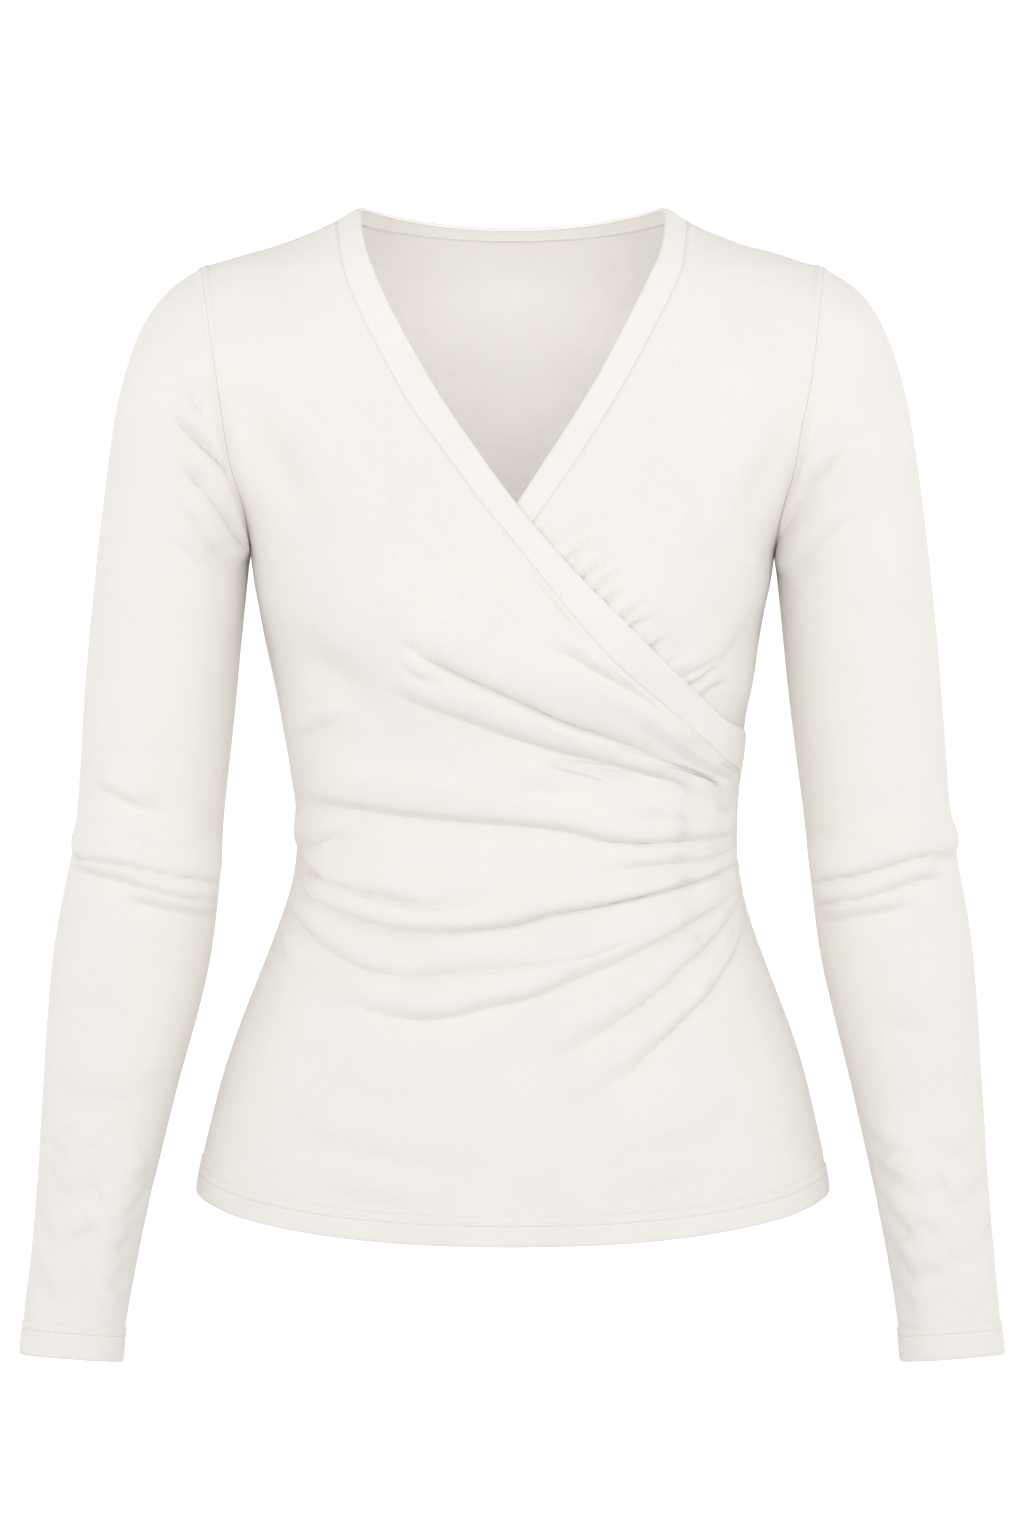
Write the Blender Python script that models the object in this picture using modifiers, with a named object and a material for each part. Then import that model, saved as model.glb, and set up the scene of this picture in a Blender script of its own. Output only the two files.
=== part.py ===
"""Wrap top: a long-sleeved crossover top in fine jersey, made of sewn panels.

Units in the tables are millimetres. X runs to the wearer's left, -Y is the front and
+Z is up. The origin lies midway between the two shoulder seams where they meet the
neck. "drop" is the distance straight down from the origin's level.
The garment is hollow: every panel is a thin wall with its outer face on the form
and its thickness turned inwards.
"""
import math

import bmesh
import bpy
from mathutils import Vector

# ---------------------------------------------------------------- driving sizes
MM = 0.001
WALL = 1.5              # one layer of jersey with its stand-off
TURNED_WALL = 2.4       # wall where the hem or cuff is folded double
SEAM_GAP = 0.4          # between the outer edges of two pieces that are sewn together
UNDER_INSET = 4.0       # how far the under front lies inside the outer one
UNDER_BLEND = 46.0      # width over which it comes out to the surface again
HEM_TURN = 16.0         # height of the turned hem
CUFF_STATION = 12.37    # the turned cuff, 22 mm deep, starts at this sleeve station
OVAL = 2.2              # exponent of the body's sections, 2 is an ellipse

TIP_DROP = 35.4         # shoulder point, top of the armhole
TIP_X = 179.2
ARM_DROP = 199.0        # bottom of the armhole, top of the side seam
ARM_FRONT = 50.0        # how far the armhole bows forwards and backwards
ARM_BACK = 56.0
SHOULDER_ROLL = 75.0    # height over which the shoulder rounds over into the panel
NECK_X = 88.3           # free edge of the neckband at the shoulder
FRONT_SEAM_X = 101.0    # neckband seams at the shoulder
BACK_SEAM_X = 97.5
BACK_NECK_DROP = 12.0   # free edge of the back neckband, centre back
BACK_BAND = 9.0
HEM_CORNER = 570.8      # hem at the side seam
UNDER_HEM_LIFT = 7.0    # the under front's hem is this much shorter
SEAM_END = 333.0        # drop where the neckband runs out into the side seam


def table(columns, *rows):
    """A short table as a dictionary of named columns."""
    names = columns.split()
    return {name: [float(row[i]) for row in rows] for i, name in enumerate(names)}


BODY_WIDTH = table(
    "drop right left",
    (199, 151.6, 151.6), (228, 147.6, 148.0), (251, 143.4, 143.6), (274, 138.0, 139.0),
    (297, 133.6, 136.0), (321, 129.3, 134.0), (344, 125.9, 131.0), (367, 124.7, 129.8),
    (390, 127.0, 132.2), (413, 134.4, 138.0), (437, 143.3, 146.7), (460, 152.5, 155.4),
    (483, 161.2, 164.0), (506, 168.8, 171.0), (530, 174.8, 176.4), (553, 180.4, 181.5),
    (571, 183.3, 184.0), (620, 187.0, 187.5))

BODY_DEPTH = table(
    "drop front back",
    (-40, 40, 60), (0, 52, 76), (50, 64, 90), (100, 79, 98), (150, 98, 100),
    (200, 114, 97), (240, 119, 91), (270, 117, 86), (300, 108, 81), (330, 100, 78),
    (365, 96, 77), (400, 97, 82), (450, 103, 95), (500, 108, 107), (550, 111, 113),
    (620, 113, 115))

SHOULDER_LINE = table(
    "x drop",
    (0, -24), (40, -19), (70, -9.5), (88.3, 0), (95, 3.6), (103, 8), (115, 13),
    (130, 18.8), (150, 25.4), (166, 30.6), (179.2, 35.4), (205, 45))

ARMHOLE = table(
    "drop x",
    (35.4, 179.2), (63, 175.4), (94, 170.9), (130, 165.0), (158, 158.8), (180, 153.6),
    (199, 151.6))

HEM = table("x drop", (0, 592.0), (50, 591.4), (95, 589.0), (154, 581.0), (179, 573.6),
            (184, 571.0))

# Neckband edges of the right front, from the shoulder across to the far side seam.
BAND_RIGHT = table(
    "station free_x free_drop seam_x seam_drop",
    (0, -88.3, 0.0, -101.0, 7.0), (1, -84.5, 19.5, -96.4, 36.0),
    (2, -72.2, 50.5, -86.4, 61.0), (3, -57.8, 77.0, -73.7, 86.5),
    (4, -41.2, 105.1, -58.5, 114.0), (5, -22.9, 133.4, -39.5, 141.5),
    (6, 2.1, 168.9, -14.0, 178.0), (7, 24.2, 195.3, 9.0, 206.5),
    (8, 41.1, 213.8, 27.0, 226.0), (9, 58.1, 230.7, 45.0, 246.0),
    (10, 76.9, 249.7, 64.0, 267.0), (11, 92.5, 265.6, 82.0, 284.0),
    (12, 110.0, 281.9, 101.0, 300.0), (13, 124.4, 296.9, 118.0, 315.5),
    (14, 134.8, 307.5, 132.6, 333.0))

# Neckband edges of the left front. It crosses underneath to the other side seam.
BAND_LEFT = table(
    "station free_x free_drop seam_x seam_drop",
    (0, 88.3, 0.0, 101.0, 7.0), (1, 87.0, 19.5, 98.0, 34.0),
    (2, 75.5, 46.0, 88.5, 56.0), (3, 63.0, 70.0, 76.0, 80.5),
    (4, 47.0, 97.0, 62.0, 105.0), (5, 26.5, 129.5, 43.0, 135.0),
    (6, 2.7, 168.9, 18.5, 171.0), (7, -20.0, 196.0, -5.5, 203.0),
    (8, -39.0, 215.5, -25.0, 225.5), (9, -57.0, 232.5, -44.0, 246.0),
    (10, -75.5, 250.5, -63.0, 267.0), (11, -91.5, 266.5, -81.0, 284.0),
    (12, -108.5, 282.0, -99.0, 300.0), (13, -121.0, 296.0, -114.5, 315.5),
    (14, -132.0, 307.5, -127.8, 333.0))

# Largest folds of the outer front, each a soft ridge that runs from the body into the
# gathered side seam.
FRONT_FOLDS = table(
    "x0 drop0 x1 drop1 x2 drop2 x3 drop3 height spread",
    (-24, 219, 22, 242, 78, 272, 128, 322, 2.8, 8.0),
    (-59, 242, -12, 264, 60, 294, 129, 338, 4.2, 8.5),
    (-118, 336, -40, 341, 50, 352, 128, 358, 2.8, 8.5),
    (-124, 378, -70, 404, 20, 396, 128, 375, 4.2, 8.5),
    (-112, 444, -50, 455, 40, 431, 129, 391, 4.6, 9.0),
    (20, 478, 62, 458, 104, 424, 132, 404, 3.4, 9.0),
    (50, 500, 86, 470, 112, 442, 136, 420, 2.6, 9.0))

# Sleeve rings, each through an outer and an inner point of the outline, with its
# reach to the front and back and how far it swings forwards.
SLEEVE = table(
    "station outer_x outer_drop inner_x inner_drop front back swing",
    (0, 179.2, 35.4, 151.6, 199.0, 50.0, 56.0, 0),
    (1, 191.6, 41.6, 151.9, 201.5, 51.0, 57.0, 0),
    (2, 211.0, 64.5, 152.3, 205.0, 52.5, 57.0, 0),
    (3, 225.0, 100.0, 152.8, 210.0, 53.0, 56.0, 0),
    (4, 235.3, 158.0, 153.4, 219.0, 52.5, 54.5, 0),
    (5, 242.6, 218.0, 154.8, 231.0, 52.0, 53.0, 0),
    (6, 248.6, 284.0, 160.2, 293.0, 50.5, 51.5, -0.5),
    (7, 252.8, 345.0, 167.4, 353.0, 48.0, 49.0, -1.5),
    (8, 259.0, 390.0, 171.6, 398.0, 46.5, 47.0, -3),
    (9, 266.6, 437.0, 177.4, 446.0, 44.0, 45.0, -5.5),
    (10, 270.4, 495.0, 191.6, 505.0, 40.0, 40.0, -9.5),
    (11, 273.6, 562.0, 207.0, 572.0, 35.0, 35.0, -13.5),
    (12, 279.0, 632.0, 219.6, 640.0, 31.5, 31.5, -18),
    (13, 283.6, 664.0, 223.6, 668.5, 31.0, 31.0, -20))
SLEEVE_RINGS = (0, 0.35, 1, 1.7, 2.4, 3.2, 4.1, 5, 5.8, 6.5, 7, 7.4, 7.8, 8.2, 8.7, 9.5,
                10.6, 11.5, CUFF_STATION, 13)
SLEEVE_SIDES = 16

# Largest folds of a sleeve, on a mirror-like pair: under the arm and at the elbow.
SLEEVE_FOLDS = table(
    "x0 drop0 x1 drop1 x2 drop2 x3 drop3 height spread",
    (-197, 122, -182, 140, -167, 155, -157, 178, 2.6, 8.0),
    (-192, 180, -178, 196, -168, 208, -161, 222, 2.0, 9.0),
    (-252, 371, -230, 370, -200, 377, -174, 384, 3.4, 9.0),
    (-236, 394, -214, 398, -190, 404, -174, 410, 2.8, 10.0))


# ---------------------------------------------------------------- small helpers
def along(rows, key, column, at):
    """Smooth interpolation through a table, never past its neighbours' values."""
    xs, ys = rows[key], rows[column]
    at = min(max(at, xs[0]), xs[-1])
    last = len(xs) - 2
    i = 0
    while i < last and at > xs[i + 1]:
        i += 1
    slope = [(ys[k + 1] - ys[k]) / (xs[k + 1] - xs[k]) for k in range(len(xs) - 1)]

    def tangent(k):
        if k == 0:
            return slope[0]
        if k == len(xs) - 1:
            return slope[-1]
        a, b = slope[k - 1], slope[k]
        return 0.0 if a * b <= 0 else 2 * a * b / (a + b)

    h = xs[i + 1] - xs[i]
    t = (at - xs[i]) / h
    return ((1 + 2 * t) * (1 - t) ** 2 * ys[i] + t * (1 - t) ** 2 * h * tangent(i)
            + t * t * (3 - 2 * t) * ys[i + 1] + t * t * (t - 1) * h * tangent(i + 1))


def ease(t):
    t = min(max(t, 0.0), 1.0)
    return t * t * (3 - 2 * t)


def ridge_lift(folds, x, drop):
    """Height of the folds over a point of the panel."""
    total = 0.0
    for k in range(len(folds["x0"])):
        way = [(folds[f"x{i}"][k], folds[f"drop{i}"][k]) for i in range(4)]
        best, place = 1e9, 0.0
        for i in range(3):
            (ax, ad), (bx, bd) = way[i], way[i + 1]
            run = (bx - ax) ** 2 + (bd - ad) ** 2
            t = min(max(((x - ax) * (bx - ax) + (drop - ad) * (bd - ad)) / run, 0), 1)
            gap = math.hypot(x - ax - t * (bx - ax), drop - ad - t * (bd - ad))
            if gap < best:
                best, place = gap, (i + t) / 3
        fade = ease(place / 0.22) * (1.0 - 0.35 * ease((place - 0.9) / 0.1))
        total += folds["height"][k] * fade * math.exp(-0.5 * (best / folds["spread"][k]) ** 2)
    return min(total, 5.0)


# ---------------------------------------------------------------- the body's form
def body_half_width(drop, sign, back):
    """Half width of the body section; above the armhole's bottom it is the width of
    the oval that passes through the armhole's edge."""
    if drop >= ARM_DROP:
        return along(BODY_WIDTH, "drop", "right" if sign < 0 else "left", drop)
    drop = max(drop, TIP_DROP + 0.5)
    edge, bow = armhole_edge(drop)
    reach = along(BODY_DEPTH, "drop", "back" if back else "front", drop)
    share = (ARM_BACK if back else ARM_FRONT) * bow / (reach * shoulder_roll(edge, drop))
    return edge / (1 - min(share, 0.93) ** OVAL) ** (1 / OVAL)


def armhole_edge(drop):
    """The armhole as the polygon of the sleeve's first ring: x, and its bow to the
    front or back as a share of the largest."""
    steps = SLEEVE_SIDES // 2
    turns = [math.pi * k / steps for k in range(steps + 1)]
    drops = [TIP_DROP + (ARM_DROP - TIP_DROP) * (1 - math.cos(turn)) / 2 for turn in turns]
    k = max(i for i in range(steps) if i == 0 or drop >= drops[i])
    share = min(max((drop - drops[k]) / (drops[k + 1] - drops[k]), 0.0), 1.0)
    ends = [(along(ARMHOLE, "drop", "x", drops[i]), math.sin(turns[i])) for i in (k, k + 1)]
    return tuple(a + (b - a) * share for a, b in zip(*ends))


def shoulder_roll(x, drop):
    t = (drop - along(SHOULDER_LINE, "x", "drop", abs(x))) / SHOULDER_ROLL
    return math.sqrt(1 - (1 - min(max(t, 0.0), 1.0)) ** 2)


def body_reach(x, drop, back):
    """Depth of the body at its middle plane, scaled for the shoulder and the bust."""
    reach = along(BODY_DEPTH, "drop", "back" if back else "front", drop)
    reach *= shoulder_roll(x, drop)
    if not back:
        across = (abs(x) - 78) / 36
        down = (drop - 232) / (36 if drop > 232 else 52)
        reach += 11 * math.exp(-0.5 * (across ** 2 + down ** 2))
    return max(reach, 1e-6)


def body_value(x, y, drop, back):
    wide = body_half_width(drop, x, back)
    return (abs(x) / wide) ** OVAL + (abs(y) / body_reach(x, drop, back)) ** OVAL


def body_point(x, drop, back=False, lift=0.0, edge_gap=0.0):
    """A point of the body's outer surface, moved out by lift along its normal."""
    wide = body_half_width(drop, x, back)
    part = min(abs(x) / wide, 1.0)
    y = body_reach(x, drop, back) * (1 - part ** OVAL) ** (1 / OVAL)
    side = 1 if back else -1
    y = max(y, edge_gap)
    if lift:
        e = 0.5
        slope_x = body_value(x + e, y, drop, back) - body_value(x - e, y, drop, back)
        slope_y = body_value(x, y + e, drop, back) - body_value(x, max(y - e, 0), drop, back)
        slope_d = body_value(x, y, drop + e, back) - body_value(x, y, drop - e, back)
        normal = Vector((slope_x, side * slope_y, -slope_d)).normalized()
        at = Vector((x, side * y, -drop)) + normal * lift
        if abs(at.y) < edge_gap or part >= 1.0:
            at.y = side * edge_gap
        return at
    return Vector((x, side * y, -drop))


def edge_angle(x, drop, back):
    wide = body_half_width(drop, x, back)
    part = min(abs(x) / wide, 1.0) ** (OVAL / 2)
    return math.copysign(math.asin(part), x)


def at_angle(angle, drop, back):
    wide = body_half_width(drop, angle, back)
    return math.copysign(wide * abs(math.sin(angle)) ** (2 / OVAL), angle)


def side_edge(drop, sign):
    if drop < ARM_DROP:
        return sign * armhole_edge(max(drop, TIP_DROP))[0]
    return sign * body_half_width(drop, sign, False)


def by_drop(band, column):
    """The band's edge as x for a given drop."""
    rows = {"drop": band[column + "_drop"], "x": band[column + "_x"]}
    return lambda drop: along(rows, "drop", "x", drop)


RIGHT_FREE, RIGHT_SEAM = by_drop(BAND_RIGHT, "free"), by_drop(BAND_RIGHT, "seam")
LEFT_FREE, LEFT_SEAM = by_drop(BAND_LEFT, "free"), by_drop(BAND_LEFT, "seam")


def outer_lift(x, drop):
    return ridge_lift(FRONT_FOLDS, x, drop)


def under_lift(x, drop):
    """The left front sinks under the right one where that covers it."""
    if drop > SEAM_END - 26:
        return -UNDER_INSET
    return -UNDER_INSET * (1 - ease((x - RIGHT_FREE(drop) - 3) / UNDER_BLEND))


# ---------------------------------------------------------------- making sheets
def cloth_material(name, colour, roughness):
    material = bpy.data.materials.new(name)
    material.use_nodes = True
    shader = material.node_tree.nodes["Principled BSDF"]
    shader.inputs["Base Color"].default_value = (*colour, 1.0)
    shader.inputs["Roughness"].default_value = roughness
    shader.inputs["Metallic"].default_value = 0.0
    material.diffuse_color = (*colour, 1.0)
    return material


def make_sheet(collection, name, rows, thick_rows, colour, flip=False):
    """One piece of cloth: a grid of points with its faces outwards, given a wall by
    Solidify on its inner side. thick_rows holds the rows that are folded double."""
    mesh = bpy.data.meshes.new(name)
    bm = bmesh.new()
    grid = [[bm.verts.new(p * MM) for p in row] for row in rows]
    count = len(grid[0])
    for a, b in zip(grid, grid[1:]):
        for i in range(count - 1):
            k = i + 1
            face = (a[i], b[i], b[k], a[k])
            bm.faces.new(tuple(reversed(face)) if flip else face)
    bm.normal_update()
    bm.to_mesh(mesh)
    bm.free()
    mesh.shade_smooth()
    piece = bpy.data.objects.new(name, mesh)
    collection.objects.link(piece)
    mesh.materials.append(cloth_material(name + "_cloth", colour, 0.86))
    group = piece.vertex_groups.new(name="wall")
    for j in range(len(rows)):
        share = 1.0 if j in thick_rows else WALL / TURNED_WALL
        group.add([j * count + i for i in range(count)], share, "REPLACE")
    wall = piece.modifiers.new("Wall", "SOLIDIFY")
    wall.thickness = TURNED_WALL * MM
    wall.offset = -1.0
    wall.vertex_group = "wall"
    wall.use_rim = True
    return piece


FRONT_ROWS = (35.4, 36.1, 41, 56, 76, 100, 124, 148, 170, 187, 199, 212, 226, 240, 253, 266,
              278, 290, 301, 312, 323, 333, 343, 353, 363, 373, 383, 393, 404, 416, 430, 446,
              464, 484, 506, 530, HEM_CORNER - HEM_TURN, HEM_CORNER)
UNDER_ROWS = (35.4, 36.1, 41, 58, 80, 104, 130, 156, 180, 199, 220, 242, 264, 286, 308, 333,
              360, 390, 420, 450, 480, 515, HEM_CORNER - UNDER_HEM_LIFT - HEM_TURN,
              HEM_CORNER - UNDER_HEM_LIFT)
BACK_ROWS = (35.4, 36.1, 41, 58, 84, 112, 140, 166, 187, 199, 220, 245, 272, 300, 328, 356,
             384, 412, 440, 470, 500, 530, HEM_CORNER - HEM_TURN, HEM_CORNER)


BACK_COLUMNS = (0, 22, 44, 66, 83, 93, BACK_SEAM_X, 120, 150, 174, TIP_X)


def mirrored(values):
    return [-v for v in reversed(values[1:])] + list(values)


def columns(count, fine):
    """Shares from 0 to 1 with a narrow first and last step."""
    inner = [fine + (1 - 2 * fine) * i / (count - 2) for i in range(count - 1)]
    return [0.0] + inner + [1.0]


def shoulder_point(x, back):
    """A point of the shoulder seam, half a gap from the other panel. The gap opens a
    little at the sharp corner where the seam meets the armhole."""
    open_up = 0.55 * ease((abs(x) - 150) / 29)
    y = SEAM_GAP / 2 + open_up
    drop = along(SHOULDER_LINE, "x", "drop", abs(x)) + open_up / 3
    return Vector((x, y if back else -y, -drop))


def hem_dip(x, drop, lift=0.0):
    """Lowers a row towards the middle as it nears the hem."""
    share = ease((drop - 430) / (HEM_CORNER - lift - 430))
    return share * (along(HEM, "x", "drop", abs(x)) - HEM_CORNER)


def front_panel(sign, seam, row_drops, shares, lift, seam_x_top):
    """One front: own shoulder and armhole or side seam on the sign side, and the
    neckband seam, then the far side seam, on the other."""
    rows = []
    for j, own in enumerate(row_drops):
        row = []
        fade = max(0.0, 1 - (own - TIP_DROP) / 110) ** 1.4
        for share in shares:
            top_x = TIP_X + (seam_x_top - TIP_X) * share
            top = along(SHOULDER_LINE, "x", "drop", top_x)
            drop = own + (top - TIP_DROP) * fade
            if j == 0:
                row.append(shoulder_point(sign * top_x, False))
                continue
            start = edge_angle(side_edge(drop, sign), drop, False)
            far = seam(drop) if drop < SEAM_END else side_edge(drop, -sign)
            far += sign * SEAM_GAP / 2 if drop < SEAM_END else 0.0
            end = edge_angle(far, drop, False)
            angle = start + (end - start) * share
            x = at_angle(angle, drop, False)
            low = drop + hem_dip(x, drop, HEM_CORNER - row_drops[-1])
            x = x if low == drop else at_angle(angle, low, False)
            gap = SEAM_GAP / 2
            row.append(body_point(x, low, False, lift(x, low), gap))
        rows.append(row)
    return rows


def back_panel():
    rows = []
    for j, own in enumerate(BACK_ROWS):
        row = []
        fade = max(0.0, 1 - (own - TIP_DROP) / 110) ** 1.4
        for top_x in mirrored(BACK_COLUMNS):
            share = (top_x / TIP_X + 1) / 2
            top = back_top(top_x)
            drop = own + (top - TIP_DROP) * fade
            if j == 0 and abs(top_x) >= BACK_SEAM_X:
                row.append(shoulder_point(top_x, True))
                continue
            if j == 0:
                row.append(body_point(top_x, top, True))
                continue
            start = edge_angle(side_edge(drop, -1), drop, True)
            end = edge_angle(side_edge(drop, 1), drop, True)
            angle = start + (end - start) * share
            x = at_angle(angle, drop, True)
            x += (top_x / TIP_X * side_edge(drop, 1) - x) * fade
            low = drop + hem_dip(x, drop)
            x = x if low == drop else at_angle(angle, low, True)
            row.append(body_point(x, low, True, 0.0, SEAM_GAP / 2))
        rows.append(row)
    return rows


def back_top(x):
    """Top edge of the back panel: shoulder, neckband seam, shoulder."""
    if abs(x) >= BACK_SEAM_X:
        return along(SHOULDER_LINE, "x", "drop", abs(x))
    share = 1 - (abs(x) / BACK_SEAM_X) ** 2
    start = along(SHOULDER_LINE, "x", "drop", BACK_SEAM_X)
    return start + (BACK_NECK_DROP + BACK_BAND - start) * share ** 0.8


def band_sheet(band, row_drops, lift):
    """A front neckband between its seam and its free edge, on the front's own form.
    It has a row for each of the front's rows, so the two edges run side by side."""
    rows = []
    sign = math.copysign(1, band["free_x"][0])
    own_rows = [own for own in row_drops if own <= SEAM_END]
    seam_at, free_at = by_drop(band, "seam"), by_drop(band, "free")
    for j, own in enumerate(own_rows):
        fade = max(0.0, 1 - (own - TIP_DROP) / 110) ** 1.4
        top = along(SHOULDER_LINE, "x", "drop", FRONT_SEAM_X)
        seam_drop = own + (top - TIP_DROP) * fade
        station = along(band, "seam_drop", "station", seam_drop)
        free_drop = along(band, "station", "free_drop", station)
        seam, free = (seam_at(seam_drop), seam_drop), (free_at(free_drop), free_drop)
        step = SEAM_GAP / 2 / math.hypot(free[0] - seam[0], free[1] - seam[1])
        row = []
        for share in (step, 0.5, 1.0):
            x = seam[0] + (free[0] - seam[0]) * share
            drop = seam[1] + (free[1] - seam[1]) * share
            if j == 0:
                x = sign * (FRONT_SEAM_X + (NECK_X - FRONT_SEAM_X) * share)
                drop = along(SHOULDER_LINE, "x", "drop", abs(x))
                row.append(Vector((x, -SEAM_GAP / 2, -drop)))
                continue
            if j == len(own_rows) - 1:
                x = -sign * body_half_width(drop, -sign, False)
            row.append(body_point(x, drop, False, lift(x, drop), SEAM_GAP / 2))
        rows.append(row)
    return rows


def back_band():
    """The narrow neckband across the back, from shoulder seam to shoulder seam."""
    rows = []
    for share in (0.0, 0.5, 1.0):
        row = []
        for seam_x in mirrored([x for x in BACK_COLUMNS if x <= BACK_SEAM_X]):
            t = seam_x / BACK_SEAM_X
            free_x = NECK_X * t
            free = BACK_NECK_DROP * (1 - abs(t) ** 2.2)
            x = free_x + (seam_x - free_x) * share
            drop = free + (back_top(seam_x) - SEAM_GAP - free) * share
            if abs(t) == 1:
                x -= t * SEAM_GAP * share
                row.append(Vector((x, SEAM_GAP, -along(SHOULDER_LINE, "x", "drop", abs(x)))))
            else:
                row.append(body_point(x, drop, True, 0.0, SEAM_GAP / 2))
        rows.append(row)
    return rows


def sleeve_ring(station, sign):
    """One row of a sleeve, from its seam under the arm round by the back, the outer side
    and the front to the same seam."""
    def of(column):
        return along(SLEEVE, "station", column, station)

    outer = Vector((of("outer_x"), -of("outer_drop")))
    inner = Vector((of("inner_x"), -of("inner_drop")))
    middle, half = (outer + inner) / 2, (outer - inner) / 2
    start = ease(1 - station / 2.5)
    swing = of("swing")
    ring = []
    for k in range(SLEEVE_SIDES + 1):
        turn = 2 * math.pi * k / SLEEVE_SIDES - math.pi
        flat = middle + half * math.cos(turn)
        x, z = flat.x, flat.y
        if start > 0:
            share = (1 - math.cos(turn)) / 2
            drop = TIP_DROP + (ARM_DROP - TIP_DROP) * share
            straight = TIP_X + (ARMHOLE["x"][-1] - TIP_X) * share
            x += (along(ARMHOLE, "drop", "x", drop) - straight) * start
        reach = of("front") if math.sin(turn) > 0 else of("back")
        y = swing - reach * math.sin(turn)
        front = max(math.sin(turn), 0.35 * ease(-3 * math.sin(turn)))
        away = Vector((half.x * math.cos(turn) / half.length * reach,
                       -math.sin(turn) * half.length,
                       half.y * math.cos(turn) / half.length * reach)).normalized()
        lift = ridge_lift(SLEEVE_FOLDS, -x, -z) * front
        place = Vector((x, y, z)) + away * lift
        place = Vector((sign * (place.x + SEAM_GAP * 1.1), place.y, place.z))
        if k in (0, SLEEVE_SIDES):
            # both edges of the seam run square to it for 2 mm, with the gap between them
            offs = (SEAM_GAP / 2, 2.0) if k == 0 else (-2.0, -SEAM_GAP / 2)
            ring += [place + Vector((0, off, 0)) for off in offs]
        else:
            ring.append(place)
    return ring


# ---------------------------------------------------------------- the garment
def main():
    for old in list(bpy.data.objects):
        bpy.data.objects.remove(old, do_unlink=True)
    top = bpy.data.collections.new("Wrap top")
    bpy.context.scene.collection.children.link(top)

    jersey = (0.87, 0.85, 0.81)
    band = (0.89, 0.875, 0.84)

    rows = back_panel()
    make_sheet(top, "back", rows, {len(rows) - 2, len(rows) - 1}, jersey, flip=True)

    rows = front_panel(-1, RIGHT_SEAM, FRONT_ROWS, columns(19, 0.018), outer_lift, FRONT_SEAM_X)
    make_sheet(top, "front_right", rows, {len(rows) - 2, len(rows) - 1}, jersey)

    rows = front_panel(1, LEFT_SEAM, UNDER_ROWS, columns(15, 0.02), under_lift, FRONT_SEAM_X)
    make_sheet(top, "front_left", rows, {len(rows) - 2, len(rows) - 1}, jersey, flip=True)

    make_sheet(top, "band_front_right", band_sheet(BAND_RIGHT, FRONT_ROWS, outer_lift), set(), band)
    make_sheet(top, "band_front_left", band_sheet(BAND_LEFT, UNDER_ROWS, under_lift), set(), band, flip=True)
    make_sheet(top, "band_back_neck", back_band(), set(), band, flip=True)

    for name, sign in (("sleeve_right", -1), ("sleeve_left", 1)):
        rows = [sleeve_ring(station, sign) for station in SLEEVE_RINGS]
        make_sheet(top, name, rows, {len(rows) - 2, len(rows) - 1}, jersey, flip=sign > 0)


main()
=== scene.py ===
"""The looks of the wrap top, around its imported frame.

Shapes are worked out in millimetres in the garment's own frame (X to the wearer's
left, -Y the front, "drop" straight down from the shoulder-neck points) and turned
into metres when a mesh is made.
"""
import math

import bpy
import numpy as np
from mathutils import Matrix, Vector


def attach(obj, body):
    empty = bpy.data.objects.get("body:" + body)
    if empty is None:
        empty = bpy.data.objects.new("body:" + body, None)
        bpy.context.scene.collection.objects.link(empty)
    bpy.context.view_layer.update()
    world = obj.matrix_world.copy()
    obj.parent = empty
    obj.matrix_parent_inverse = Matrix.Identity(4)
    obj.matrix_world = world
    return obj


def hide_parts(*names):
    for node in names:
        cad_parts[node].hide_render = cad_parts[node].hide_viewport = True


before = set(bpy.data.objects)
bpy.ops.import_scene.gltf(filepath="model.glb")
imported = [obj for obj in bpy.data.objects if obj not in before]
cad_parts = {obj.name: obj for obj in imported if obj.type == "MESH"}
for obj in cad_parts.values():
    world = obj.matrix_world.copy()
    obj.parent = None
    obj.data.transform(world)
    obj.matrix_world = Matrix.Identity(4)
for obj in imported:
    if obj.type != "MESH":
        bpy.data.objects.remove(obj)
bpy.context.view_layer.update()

MM = 0.001

# ------------------------------------------------------------------ sizes
TIP_DROP, TIP_X = 35.4, 179.2        # shoulder point
ARM_DROP = 199.0                     # bottom of the armhole
ARM_FRONT, ARM_BACK = 50.0, 56.0     # bow of the armhole
OVAL = 2.2                           # exponent of the body's sections
SLEEVE_OVAL = 2.3
SHOULDER_ROLL = 75.0
NECK_X, FRONT_SEAM_X, BACK_SEAM_X = 88.3, 101.0, 97.5
BACK_NECK_DROP, BACK_BAND = 12.0, 7.4
HEM_CORNER = 570.8
SEAM_TOP, SEAM_END = 8.6, 333.0
UNDER_INSET = 2.6                    # the under front below the outer one
UNDER_HEM_LIFT = 7.0
CLOTH = 0.9                          # one layer with its fold padding
DOUBLE = 1.5                         # neckband, hem and cuff
GRID = 2.5                           # mesh step on the sleeves
HEM_LINES = (12.0, 16.6)             # needle lines above the hem's edge
CUFF_LINES = (15.0, 20.0)


def table(columns, *rows):
    names = columns.split()
    return {name: np.array([row[i] for row in rows], float) for i, name in enumerate(names)}


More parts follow.
